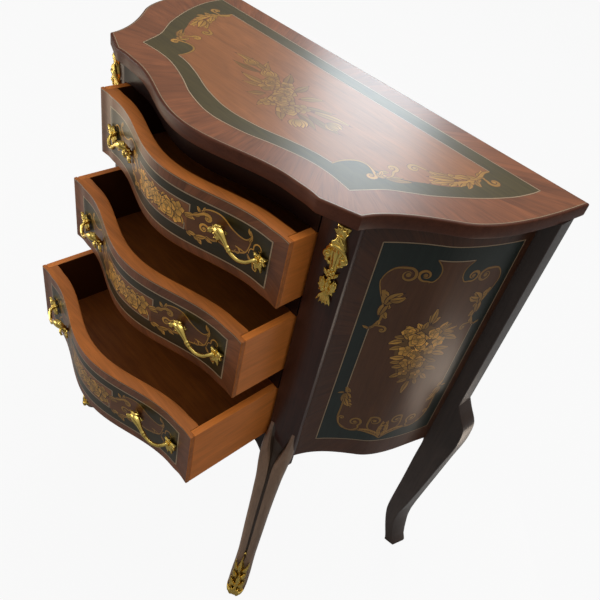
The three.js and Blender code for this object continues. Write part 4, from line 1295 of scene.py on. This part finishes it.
class COMMODE_OT_drawer_fronts(bpy.types.Operator):
    """Build the bowed drawer fronts and lay their marquetry"""

    bl_idname = "commode.drawer_fronts"
    bl_label = "Drawer fronts"

    def execute(self, context):
        r = sizes().arris / MM
        half, lap = FRONT_HALF, FRONT_HALF - LAP
        right = [(x, 0.0, FRONT_THICK) for x in spread(0.0, lap, 46)] + [
            (x, inset, LAP_THICK) for x, inset in (
                (lap + 0.01, 0.0), (half - r, 0.0), (half - 0.3 * r, 0.3 * r), (half, r))]
        line = [(-x, inset, thick) for x, inset, thick in right[:0:-1]] + right
        for number, name in enumerate(DRAWERS):
            low, high = node_box(f"drawer_{name}_front")
            plane, bottom, tall = low.y + FRONT_BOW, low.z, high.z - low.z
            rings = []
            for x, inset, thick in line:
                profile = ((inset + r, 0), (inset + 0.3 * r, 0.3 * r), (inset, r), (inset, tall - r),
                           (inset + 0.3 * r, tall - 0.3 * r), (inset + r, tall), (thick - r, tall),
                           (thick, tall - r), (thick, r), (thick - r, 0))
                y = plane + front_curve(x)
                rings.append([Vector((x, y + depth, bottom + z)) for depth, z in profile])
            points, faces = loft(rings)
            kept = []
            for index, face in enumerate(faces):
                ring, side = divmod(index, len(profile))
                veneered = side == 2 and ring < len(rings) - 1 and not line[ring][1] and not line[ring + 1][1]
                if not veneered:
                    kept.append(face)
            core = f"drawer_{name}_front_core"
            mesh = mesh_of(core, points, kept, ("drawer",))
            finish_object(core, mesh, f"drawer_{name}", (f"drawer_{name}_front",))

            def surface(u, v):
                normal = Vector((front_slope(u, 0.5), -1, 0)).normalized()
                return Vector((u, plane + front_curve(u), bottom + v)), normal

            stations = [((x, r), (x, tall - r)) for x in spread(-half + r, half - r, 72)]
            # The last argument is the drawer's painted shade, more on each lower drawer.
            drawer_marquetry(tall, 51 + number, r, number / 2).lay(
                f"drawer_{name}_marquetry", f"drawer_{name}", surface, stations)
        return {"FINISHED"}


class COMMODE_OT_side_panels(bpy.types.Operator):
    """Build the swept side panels and lay their marquetry"""

    bl_idname = "commode.side_panels"
    bl_label = "Side panels"

    def execute(self, context):
        r = sizes().arris / MM
        low, high = node_box("side_panel_right")
        front, back = low.y - STILE_PLANE, high.y - STILE_PLANE
        depths = spread(front, back, 60)

        def across(line, y):
            for a, b in zip(line, line[1:]):
                if b.y >= y:
                    return mix(a.x, b.x, (y - a.y) / (b.y - a.y))
            return line[-1].x

        outer, inner = (
            [Vector((across(line, y), y)) for y in depths]
            for line in (side_line(PANEL_OUTER, 40), side_line(PANEL_INNER, 40)))
        places = [0.0]
        for a, b in zip(outer, outer[1:]):
            places.append(places[-1] + (b - a).length)
        width = places[-1]

        def lower(y):
            reach = min(y - front, back - y)
            return CASE_BOTTOM - 2.5 - PANEL_FOOT * max(0.0, 1 - reach / PANEL_FOOT_REACH) ** 2

        def surface_of(hand):
            def surface(u, v):
                i = 0
                while i < len(places) - 2 and places[i + 1] < u:
                    i += 1
                p = outer[i].lerp(outer[i + 1], clamped((u - places[i]) / (places[i + 1] - places[i])))
                t = (outer[min(i + 2, len(outer) - 1)] - outer[max(i - 1, 0)]).normalized()
                return Vector((hand * p.x, p.y + STILE_PLANE, v)), Vector((hand * t.y, -t.x, 0))
            return surface

        feet = [(s, lower(y) + r) for s, y in zip(places, depths)]
        outline = [Vector(p) for p in feet] + [Vector((width, high.z)), Vector((0.0, high.z))]
        work = panel_marquetry(width, outline)
        stations = [((s, z), (s, high.z)) for s, z in feet]
        for side, hand in SIDES:
            work.lay(f"side_panel_marquetry_{side}", "case", surface_of(hand), stations, hand < 0)
            rings = []
            for o, i, y in zip(outer, inner, depths):
                inward = (i - o).normalized()
                base = lower(y)
                row = ((o, base + r), (o + inward * 0.3 * r, base + 0.3 * r), (o + inward * r, base),
                       (i, base), (i, high.z), (o, high.z))
                rings.append([Vector((hand * p.x, p.y + STILE_PLANE, z)) for p, z in row])
            points, faces = loft(rings)
            sides = len(row)
            kept = [f for n, f in enumerate(faces) if n % sides != sides - 1 or n >= sides * (len(rings) - 1)]
            core = f"side_panel_core_{side}"
            mesh = mesh_of(core, points, kept, ("case",))
            finish_object(core, mesh, "case", (f"side_panel_{side}",))
        return {"FINISHED"}


def leg_row(rise):
    """The stations' values at a share of the knee's height."""
    rows = LEG_STATIONS
    i = 0
    while i < len(rows) - 2 and rows[i + 1][0] < rise:
        i += 1
    t = clamped((rise - rows[i][0]) / (rows[i + 1][0] - rows[i][0]))
    before, a, b, after = (Vector(rows[max(min(n, len(rows) - 1), 0)]) for n in (i - 1, i, i + 1, i + 2))
    h = b[0] - a[0]
    slope_a = (b - before) / max(b[0] - before[0], 1e-6)
    slope_b = (after - a) / max(after[0] - a[0], 1e-6)
    return (a * (2 * t ** 3 - 3 * t ** 2 + 1) + slope_a * h * (t ** 3 - 2 * t ** 2 + t)
            + b * (3 * t ** 2 - 2 * t ** 3) + slope_b * h * (t ** 3 - t ** 2))


def leg_half(rise):
    """Sideways and outward places of half the leg's section, from the groove round to the back."""
    _, front, back, width, groove, deep = leg_row(rise)
    front, back, deep = front * LEG_REACH, back * LEG_REACH, deep * LEG_REACH
    half, groove = width * LEG_WIDTH / 2, groove * LEG_WIDTH
    return [(0.0, front - deep)] + [
        (g * groove + a * half, front - gd * deep - d * (front - back)) for g, a, gd, d in LEG_SECTION
    ] + [(0.0, back)]


def stile_place(x, out, height, turn, hand):
    """A point across and out from the middle of the stile's face, in the frame of the chest."""
    c, s = math.cos(turn), math.sin(turn)
    px = c * x + s * out + OPENING_HALF + STILE_WIDTH / 2
    py = s * x - c * out + STILE_CANT / 2
    return Vector((hand * px, py + STILE_PLANE, height))


def leg_place(x, out, rise, hand):
    """A point of the leg's own frame in the frame of the chest."""
    t = clamped((1 - rise) / KNEE_TWIST)
    return stile_place(x, out, rise * KNEE_TOP, mix(FACE_TURN, LEG_TURN, t * t * (3 - 2 * t)), hand)


def cut_away(piece, boxes):
    """Cuts boxes out of a piece."""
    cutters = []
    for low, high in boxes:
        corners = [Vector((x, y, z)) for z in (low[2], high[2]) for x, y in (
            (low[0], low[1]), (high[0], low[1]), (high[0], high[1]), (low[0], high[1]))]
        cutters.append(add_object("cutter", mesh_of("cutter", *loft([corners[:4], corners[4:]]))))
        cut = piece.modifiers.new("cut", "BOOLEAN")
        cut.operation = "DIFFERENCE"
        cut.solver = "EXACT"
        cut.object = cutters[-1]
    graph = bpy.context.evaluated_depsgraph_get()
    made = bpy.data.meshes.new_from_object(piece.evaluated_get(graph))
    piece.modifiers.clear()
    piece.data = made
    for cutter in cutters:
        bpy.data.objects.remove(cutter)


class COMMODE_OT_front_legs(bpy.types.Operator):
    """Build the front legs with their grooves, and the stiles above them"""

    bl_idname = "commode.front_legs"
    bl_label = "Front legs"

    def execute(self, context):
        top = node_box("front_leg_right")[1].z
        rises = sorted(set(spread(0.0, 1.0, 84)) | {0.004, 0.012, 0.221})
        for side, hand in SIDES:
            rings = []
            for rise in rises:
                half = leg_half(rise)
                shrink = 1 - 0.05 * max(0.0, 1 - rise / 0.012)
                ring = half + [(-x, out) for x, out in half[-2:0:-1]]
                centre = (half[0][1] + half[-1][1]) / 2
                rings.append([
                    leg_place(x * shrink, centre + (out - centre) * shrink, rise, hand) for x, out in ring])
            points, faces = loft(rings)
            sides = len(ring)
            # The groove's faces take the darkened groove finish: painted shade in the recess.
            grooved = [
                int(n < sides * (len(rings) - 1) and n % sides in (0, 1, sides - 1, sides - 2))
                for n in range(len(faces))]
            name = f"front_leg_dressed_{side}"
            piece = add_object("leg blank", mesh_of(name, points, faces, ("front_legs", "groove"), grooved))
            inner, outer = sorted((0.0, hand * OPENING_HALF)), sorted((0.0, hand * 400.0))
            front, back, high = -300, 300, 900
            cut_away(piece, (
                ((inner[0], front, CASE_BOTTOM - 16.3), (inner[1], back, high)),
                ((outer[0], STILE_PLANE + 30, CASE_BOTTOM - 0.3), (outer[1], back, high))))
            mesh = piece.data
            bpy.data.objects.remove(piece)
            mesh.name = name
            finish_object(name, mesh, "case", (f"front_leg_{side}",), 42)

            x0, c = OPENING_HALF, 3.0
            plan = ((x0, c), (x0 + 0.5, c * 0.45), (x0 + c, c * STILE_CANT / STILE_WIDTH),
                    (STILE_OUTER - 1.2, STILE_CANT - 0.5), (STILE_OUTER - 0.3, STILE_CANT + 0.2),
                    (STILE_OUTER, STILE_CANT + 1.3), (STILE_OUTER, STILE_CANT + 6.4),
                    (STILE_OUTER - 0.6, STILE_CANT + 7.6), (STILE_OUTER - 11.5, 30.0), (x0, 30.0))
            rings = [[Vector((hand * x, y + STILE_PLANE, z)) for x, y in plan]
                     for z in spread(CASE_BOTTOM, top, 8)]
            name = f"stile_{side}"
            mesh = mesh_of(name, *loft(rings), ("case_upright",))
            finish_object(name, mesh, "case", angle=30)
        return {"FINISHED"}


class COMMODE_OT_rear_legs(bpy.types.Operator):
    """Build the rear legs with the canted outer face of their feet"""

    bl_idname = "commode.rear_legs"
    bl_label = "Rear legs"

    def execute(self, context):
        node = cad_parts["rear_leg_right"]
        low, high = node_box("rear_leg_right")
        corners = [(node.matrix_world @ v.co) / MM for v in node.data.vertices]
        lines = []
        for edge in node.data.edges:
            a, b = (corners[i] for i in edge.vertices)
            if max(a.y, b.y) < low.y + 0.2:
                lines.append((a, b) if a.z < b.z else (b, a))

        def reach(z):
            places = [
                mix(a.x, b.x, (z - a.z) / (b.z - a.z)) for a, b in lines
                if a.z <= z <= b.z and b.z - a.z > 1e-4]
            return min(places), max(places)

        front, back = low.y + 0.1, high.y
        for side, hand in SIDES:
            rings = []
            for z in spread(0.6, 440.0, 88) + spread(455.0, high.z - 0.05, 8):
                inner, outer = reach(z)
                below, above = next(
                    (below, above) for below, above in zip(REAR_CANTS, REAR_CANTS[1:]) if above[0] >= z)
                share = (z - below[0]) / (above[0] - below[0])
                cant, cut_back = (mix(below[i], above[i], share) for i in (1, 2))
                ease = 1.2 * max(0.0, 1 - z / 3.0)
                inner, outer = inner + ease, outer - ease
                plan = ((inner + 1.0, front), (outer - cant - 1.0, front + cut_back),
                        (outer - cant, front + cut_back + 1.0), (outer, back - 5.0),
                        (outer - 0.3, back - 1.4), (outer - 1.4, back), (inner + 1.0, back),
                        (inner, back - 1.0), (inner, front + 1.0))
                rings.append([Vector((hand * x, y, z)) for x, y in plan])
            name = f"rear_leg_dressed_{side}"
            finish_object(
                name, mesh_of(name, *loft(rings), ("legs",)), "case", (f"rear_leg_{side}",), 30)
        return {"FINISHED"}


NODE_WOODS = {
    # Rails take a finish darkened as painted shade.
    "rail": ("top_rail", "divider_rail_upper", "divider_rail_lower", "bottom_rail"),
    "plain": ("back_panel", "back_rail_top", "back_rail_bottom", "stop_top", "stop_middle", "stop_bottom"),
    "plain_deep": ("kicker_right", "kicker_left") + tuple(
        f"{kind}_{name}_{side}" for kind in ("runner", "guide") for name in DRAWERS for side, _ in SIDES),
    "drawer": tuple(f"drawer_{name}_back" for name in DRAWERS),
    # Drawer bottoms take a finish darkened as painted shade.
    "drawer_bottom": tuple(f"drawer_{name}_bottom" for name in DRAWERS),
    # Drawer sides take finishes with painted shade on their inner faces.
    "drawer_right": tuple(f"drawer_{name}_side_right" for name in DRAWERS),
    "drawer_left": tuple(f"drawer_{name}_side_left" for name in DRAWERS),
}


class COMMODE_OT_case_work(bpy.types.Operator):
    """Ease the edges of the rails, back, runners and drawer boxes and finish their wood"""

    bl_idname = "commode.case_work"
    bl_label = "Case and drawer boxes"

    def execute(self, context):
        for wood_name, names in NODE_WOODS.items():
            for name in names:
                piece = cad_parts[name]
                piece.data.materials.clear()
                piece.data.materials.append(finish(wood_name))
                weld = piece.modifiers.new("weld", "WELD")
                weld.merge_threshold = 0.00001
                bevel = piece.modifiers.new("eased edges", "BEVEL")
                bevel.width = sizes().arris
                bevel.segments = 2
                bevel.limit_method = "ANGLE"
                bevel.angle_limit = math.radians(32)
                bevel.harden_normals = False
                piece.data.shade_smooth()
                normals = piece.modifiers.new("even shading", "WEIGHTED_NORMAL")
                normals.keep_sharp = False
        return {"FINISHED"}


class COMMODE_OT_pulls(bpy.types.Operator):
    """Cast the pulls and set them on the drawer fronts"""

    bl_idname = "commode.pulls"
    bl_label = "Pulls"

    def execute(self, context):
        cast = pull_casting()
        along = Vector((1, front_slope(PULL_PLACE, PULL_HALF))).normalized()
        for name in DRAWERS:
            low, high = node_box(f"drawer_{name}_front")
            plane, middle = low.y + FRONT_BOW, (low.z + high.z) / 2
            for side, hand in SIDES:

                def place(x, out, z):
                    u = PULL_PLACE + x * along.x
                    y = plane + front_curve(u)
                    return Vector((hand * (u + out * along.y), y - out * along.x, middle + z))

                cast.build(f"pull_{name}_{side}", place, f"drawer_{name}", f"handle_{name}_{side}")
        return {"FINISHED"}


class COMMODE_OT_corner_mounts(bpy.types.Operator):
    """Cast the mounts of the front corners"""

    bl_idname = "commode.corner_mounts"
    bl_label = "Corner mounts"

    def execute(self, context):
        foot = node_box("corner_mount_right")[0].z
        cast = corner_mount_casting()
        for side, hand in SIDES:

            def place(x, out, z):
                return stile_place(x + CORNER_SHIFT, out * CORNER_DEPTH, foot + z, FACE_TURN, hand)

            cast.build(f"corner_mount_cast_{side}", place, "case", f"corner_mount_{side}")
        return {"FINISHED"}


class COMMODE_OT_foot_mounts(bpy.types.Operator):
    """Cast the mounts of the front feet, with painted shade in place of their piercings"""

    bl_idname = "commode.foot_mounts"
    bl_label = "Foot mounts"

    def execute(self, context):
        cast = foot_mount_casting()
        for side, hand in SIDES:

            def place(x, out, z):
                x, out, z = (value * scale for value, scale in zip((x, out, z), FOOT_SCALE))
                rise = max(z, 0.2) / KNEE_TOP
                half = leg_half(rise)
                reach = abs(x)
                front = half[1][1]
                for (xa, oa), (xb, ob) in zip(half[1:], half[2:]):
                    if xb > xa and xa <= reach <= xb:
                        front = mix(oa, ob, (reach - xa) / (xb - xa))
                        break
                    front = ob if reach > xb else front
                    if ob < half[LEG_WIDEST][1]:
                        break
                return leg_place(x, front + out, rise, hand)

            cast.build(f"foot_mount_{side}", place, "case", f"sabot_{side}")
        return {"FINISHED"}


class COMMODE_OT_stage(bpy.types.Operator):
    """Set the floor, the soft light and the camera"""

    bl_idname = "commode.stage"
    bl_label = "Floor, light and camera"

    def execute(self, context):
        scene = context.scene
        stage = scene.commode_stage
        mesh = bpy.data.meshes.new("floor")
        mesh.from_pydata([(-6, -6, 0), (6, -6, 0), (6, 6, 0), (-6, 6, 0)], [], [(0, 1, 2, 3)])
        add_object("floor", mesh)
        nodes = Surface("pale floor")
        speck = nodes.noise(nodes.coordinates("Object"), 3.0, 2.0)
        nodes.shade(Base_Color=nodes.blend(speck, (0.34, 0.34, 0.34), (0.37, 0.37, 0.365)), Roughness=0.9,
                    Specular_IOR_Level=0.1)
        white = {"Color": (1, 1, 1, 1), "Strength": 1.0}
        rays = nodes.add("ShaderNodeLightPath").outputs
        seen = nodes.math("MAXIMUM", rays["Is Camera Ray"], rays["Is Transmission Ray"])
        shown = nodes.math("MULTIPLY", seen, 0.93)
        nodes.fill(nodes.out, {0: nodes.either(shown, nodes.shader, nodes.add("ShaderNodeEmission", white))})
        mesh.materials.append(nodes.material)

        for name, place, aim, size, energy, tint in (
                ("key light", (0.1, 0.7, 2.75), (0.05, 0.05, 0.7), (1.8, 1.8), stage.key_power, (1, 1, 1)),
                ("front light", (-2.2, -1.7, 0.75), (0, -0.15, 0.35), (1.2, 1.0), stage.front_power,
                 (1.0, 0.97, 0.92)),
                ("window light", (-1.77, 2.76, 2.36), (0.0, 0.18, 0.79), (0.8, 1.4), stage.window_power,
                 (0.82, 0.93, 1.0)),
                ("floor sheen", (-1.2, -0.45, 0.03), (-0.12, -0.12, 0.55), (0.8, 0.6), stage.floor_sheen,
                 (1.0, 0.85, 0.62)),
                ("floor glow", (0.62, 0.4, 0.02), (0.35, 0.12, 0.45), (0.34, 0.34), stage.floor_glow,
                 (1.0, 0.82, 0.66))):
            light = bpy.data.lights.new(name, "AREA")
            light.shape = "RECTANGLE"
            light.size, light.size_y = size
            light.energy = energy
            light.color = tint
            lamp = add_object(name, light)
            lamp.location = place
            lamp.rotation_euler = (Vector(aim) - Vector(place)).to_track_quat("-Z", "Y").to_euler()
            lamp.visible_camera = False

        world = scene.world or bpy.data.worlds.new("room")
        scene.world = world
        world.use_nodes = True
        nodes = Nodes(world.node_tree)
        rise = nodes.split(nodes.coordinates("Generated"))[2]
        sky = nodes.ramp(rise, 0.0, 0.8, (0.13, 0.105, 0.08), (1.0, 0.99, 0.97))
        room = nodes.add("ShaderNodeBackground", {"Color": sky, "Strength": stage.sky})
        plain = nodes.add("ShaderNodeBackground", white)
        seen = nodes.add("ShaderNodeLightPath").outputs["Is Camera Ray"]
        nodes.add("ShaderNodeOutputWorld", {0: nodes.either(seen, room, plain)})

        camera = bpy.data.cameras.new("camera")
        camera.sensor_width = 36.0
        camera.lens = 37.85
        camera.clip_start = 0.05
        seat = add_object("camera", camera)
        eye = (0.5447, -0.5089, 1.1431)
        ahead = Vector((-0.45798473, 0.59448455, -0.66093729))
        up = Vector((-0.58577659, 0.35743207, 0.72739817))
        turned = zip(ahead.cross(up), up, -ahead, eye)
        seat.matrix_world = Matrix((*turned, (0, 0, 0, 1)))
        scene.camera = seat
        scene.view_settings.view_transform = "Standard"
        return {"FINISHED"}


STEPS = (
    COMMODE_OT_stage, COMMODE_OT_top_board, COMMODE_OT_drawer_fronts, COMMODE_OT_side_panels,
    COMMODE_OT_front_legs, COMMODE_OT_rear_legs, COMMODE_OT_case_work, COMMODE_OT_pulls,
    COMMODE_OT_corner_mounts, COMMODE_OT_foot_mounts,
)


class COMMODE_PT_panel(bpy.types.Panel):
    """Sizes, colours and pieces of the commode"""

    bl_idname = "COMMODE_PT_panel"
    bl_label = "Commode"
    bl_space_type = "VIEW_3D"
    bl_region_type = "UI"
    bl_category = "Commode"

    def draw(self, context):
        scene = context.scene
        for title, group in (("Sizes", scene.commode_sizes), ("Colours", scene.commode_colours),
                             ("Stage", scene.commode_stage)):
            box = self.layout.box()
            box.label(text=title)
            for name in group.__annotations__:
                box.prop(group, name)
        for step in STEPS:
            self.layout.operator(step.bl_idname)


CLASSES = (CommodeSizes, CommodeColours, CommodeStage, *STEPS, COMMODE_PT_panel)


def register():
    """Registers the classes and their settings."""
    for cls in CLASSES:
        bpy.utils.register_class(cls)
    bpy.types.Scene.commode_sizes = PointerProperty(type=CommodeSizes)
    bpy.types.Scene.commode_colours = PointerProperty(type=CommodeColours)
    bpy.types.Scene.commode_stage = PointerProperty(type=CommodeStage)


def unregister():
    """Removes the settings and the classes."""
    del bpy.types.Scene.commode_stage
    del bpy.types.Scene.commode_colours
    del bpy.types.Scene.commode_sizes
    for cls in reversed(CLASSES):
        bpy.utils.unregister_class(cls)


def main():
    """Builds the chest."""
    register()
    for step in STEPS:
        group, name = step.bl_idname.split(".")
        result = getattr(getattr(bpy.ops, group), name)()
        if "FINISHED" not in result:
            raise RuntimeError(f"{step.bl_label} wasn't finished")
    bpy.context.view_layer.update()


if __name__ == "__main__":
    main()
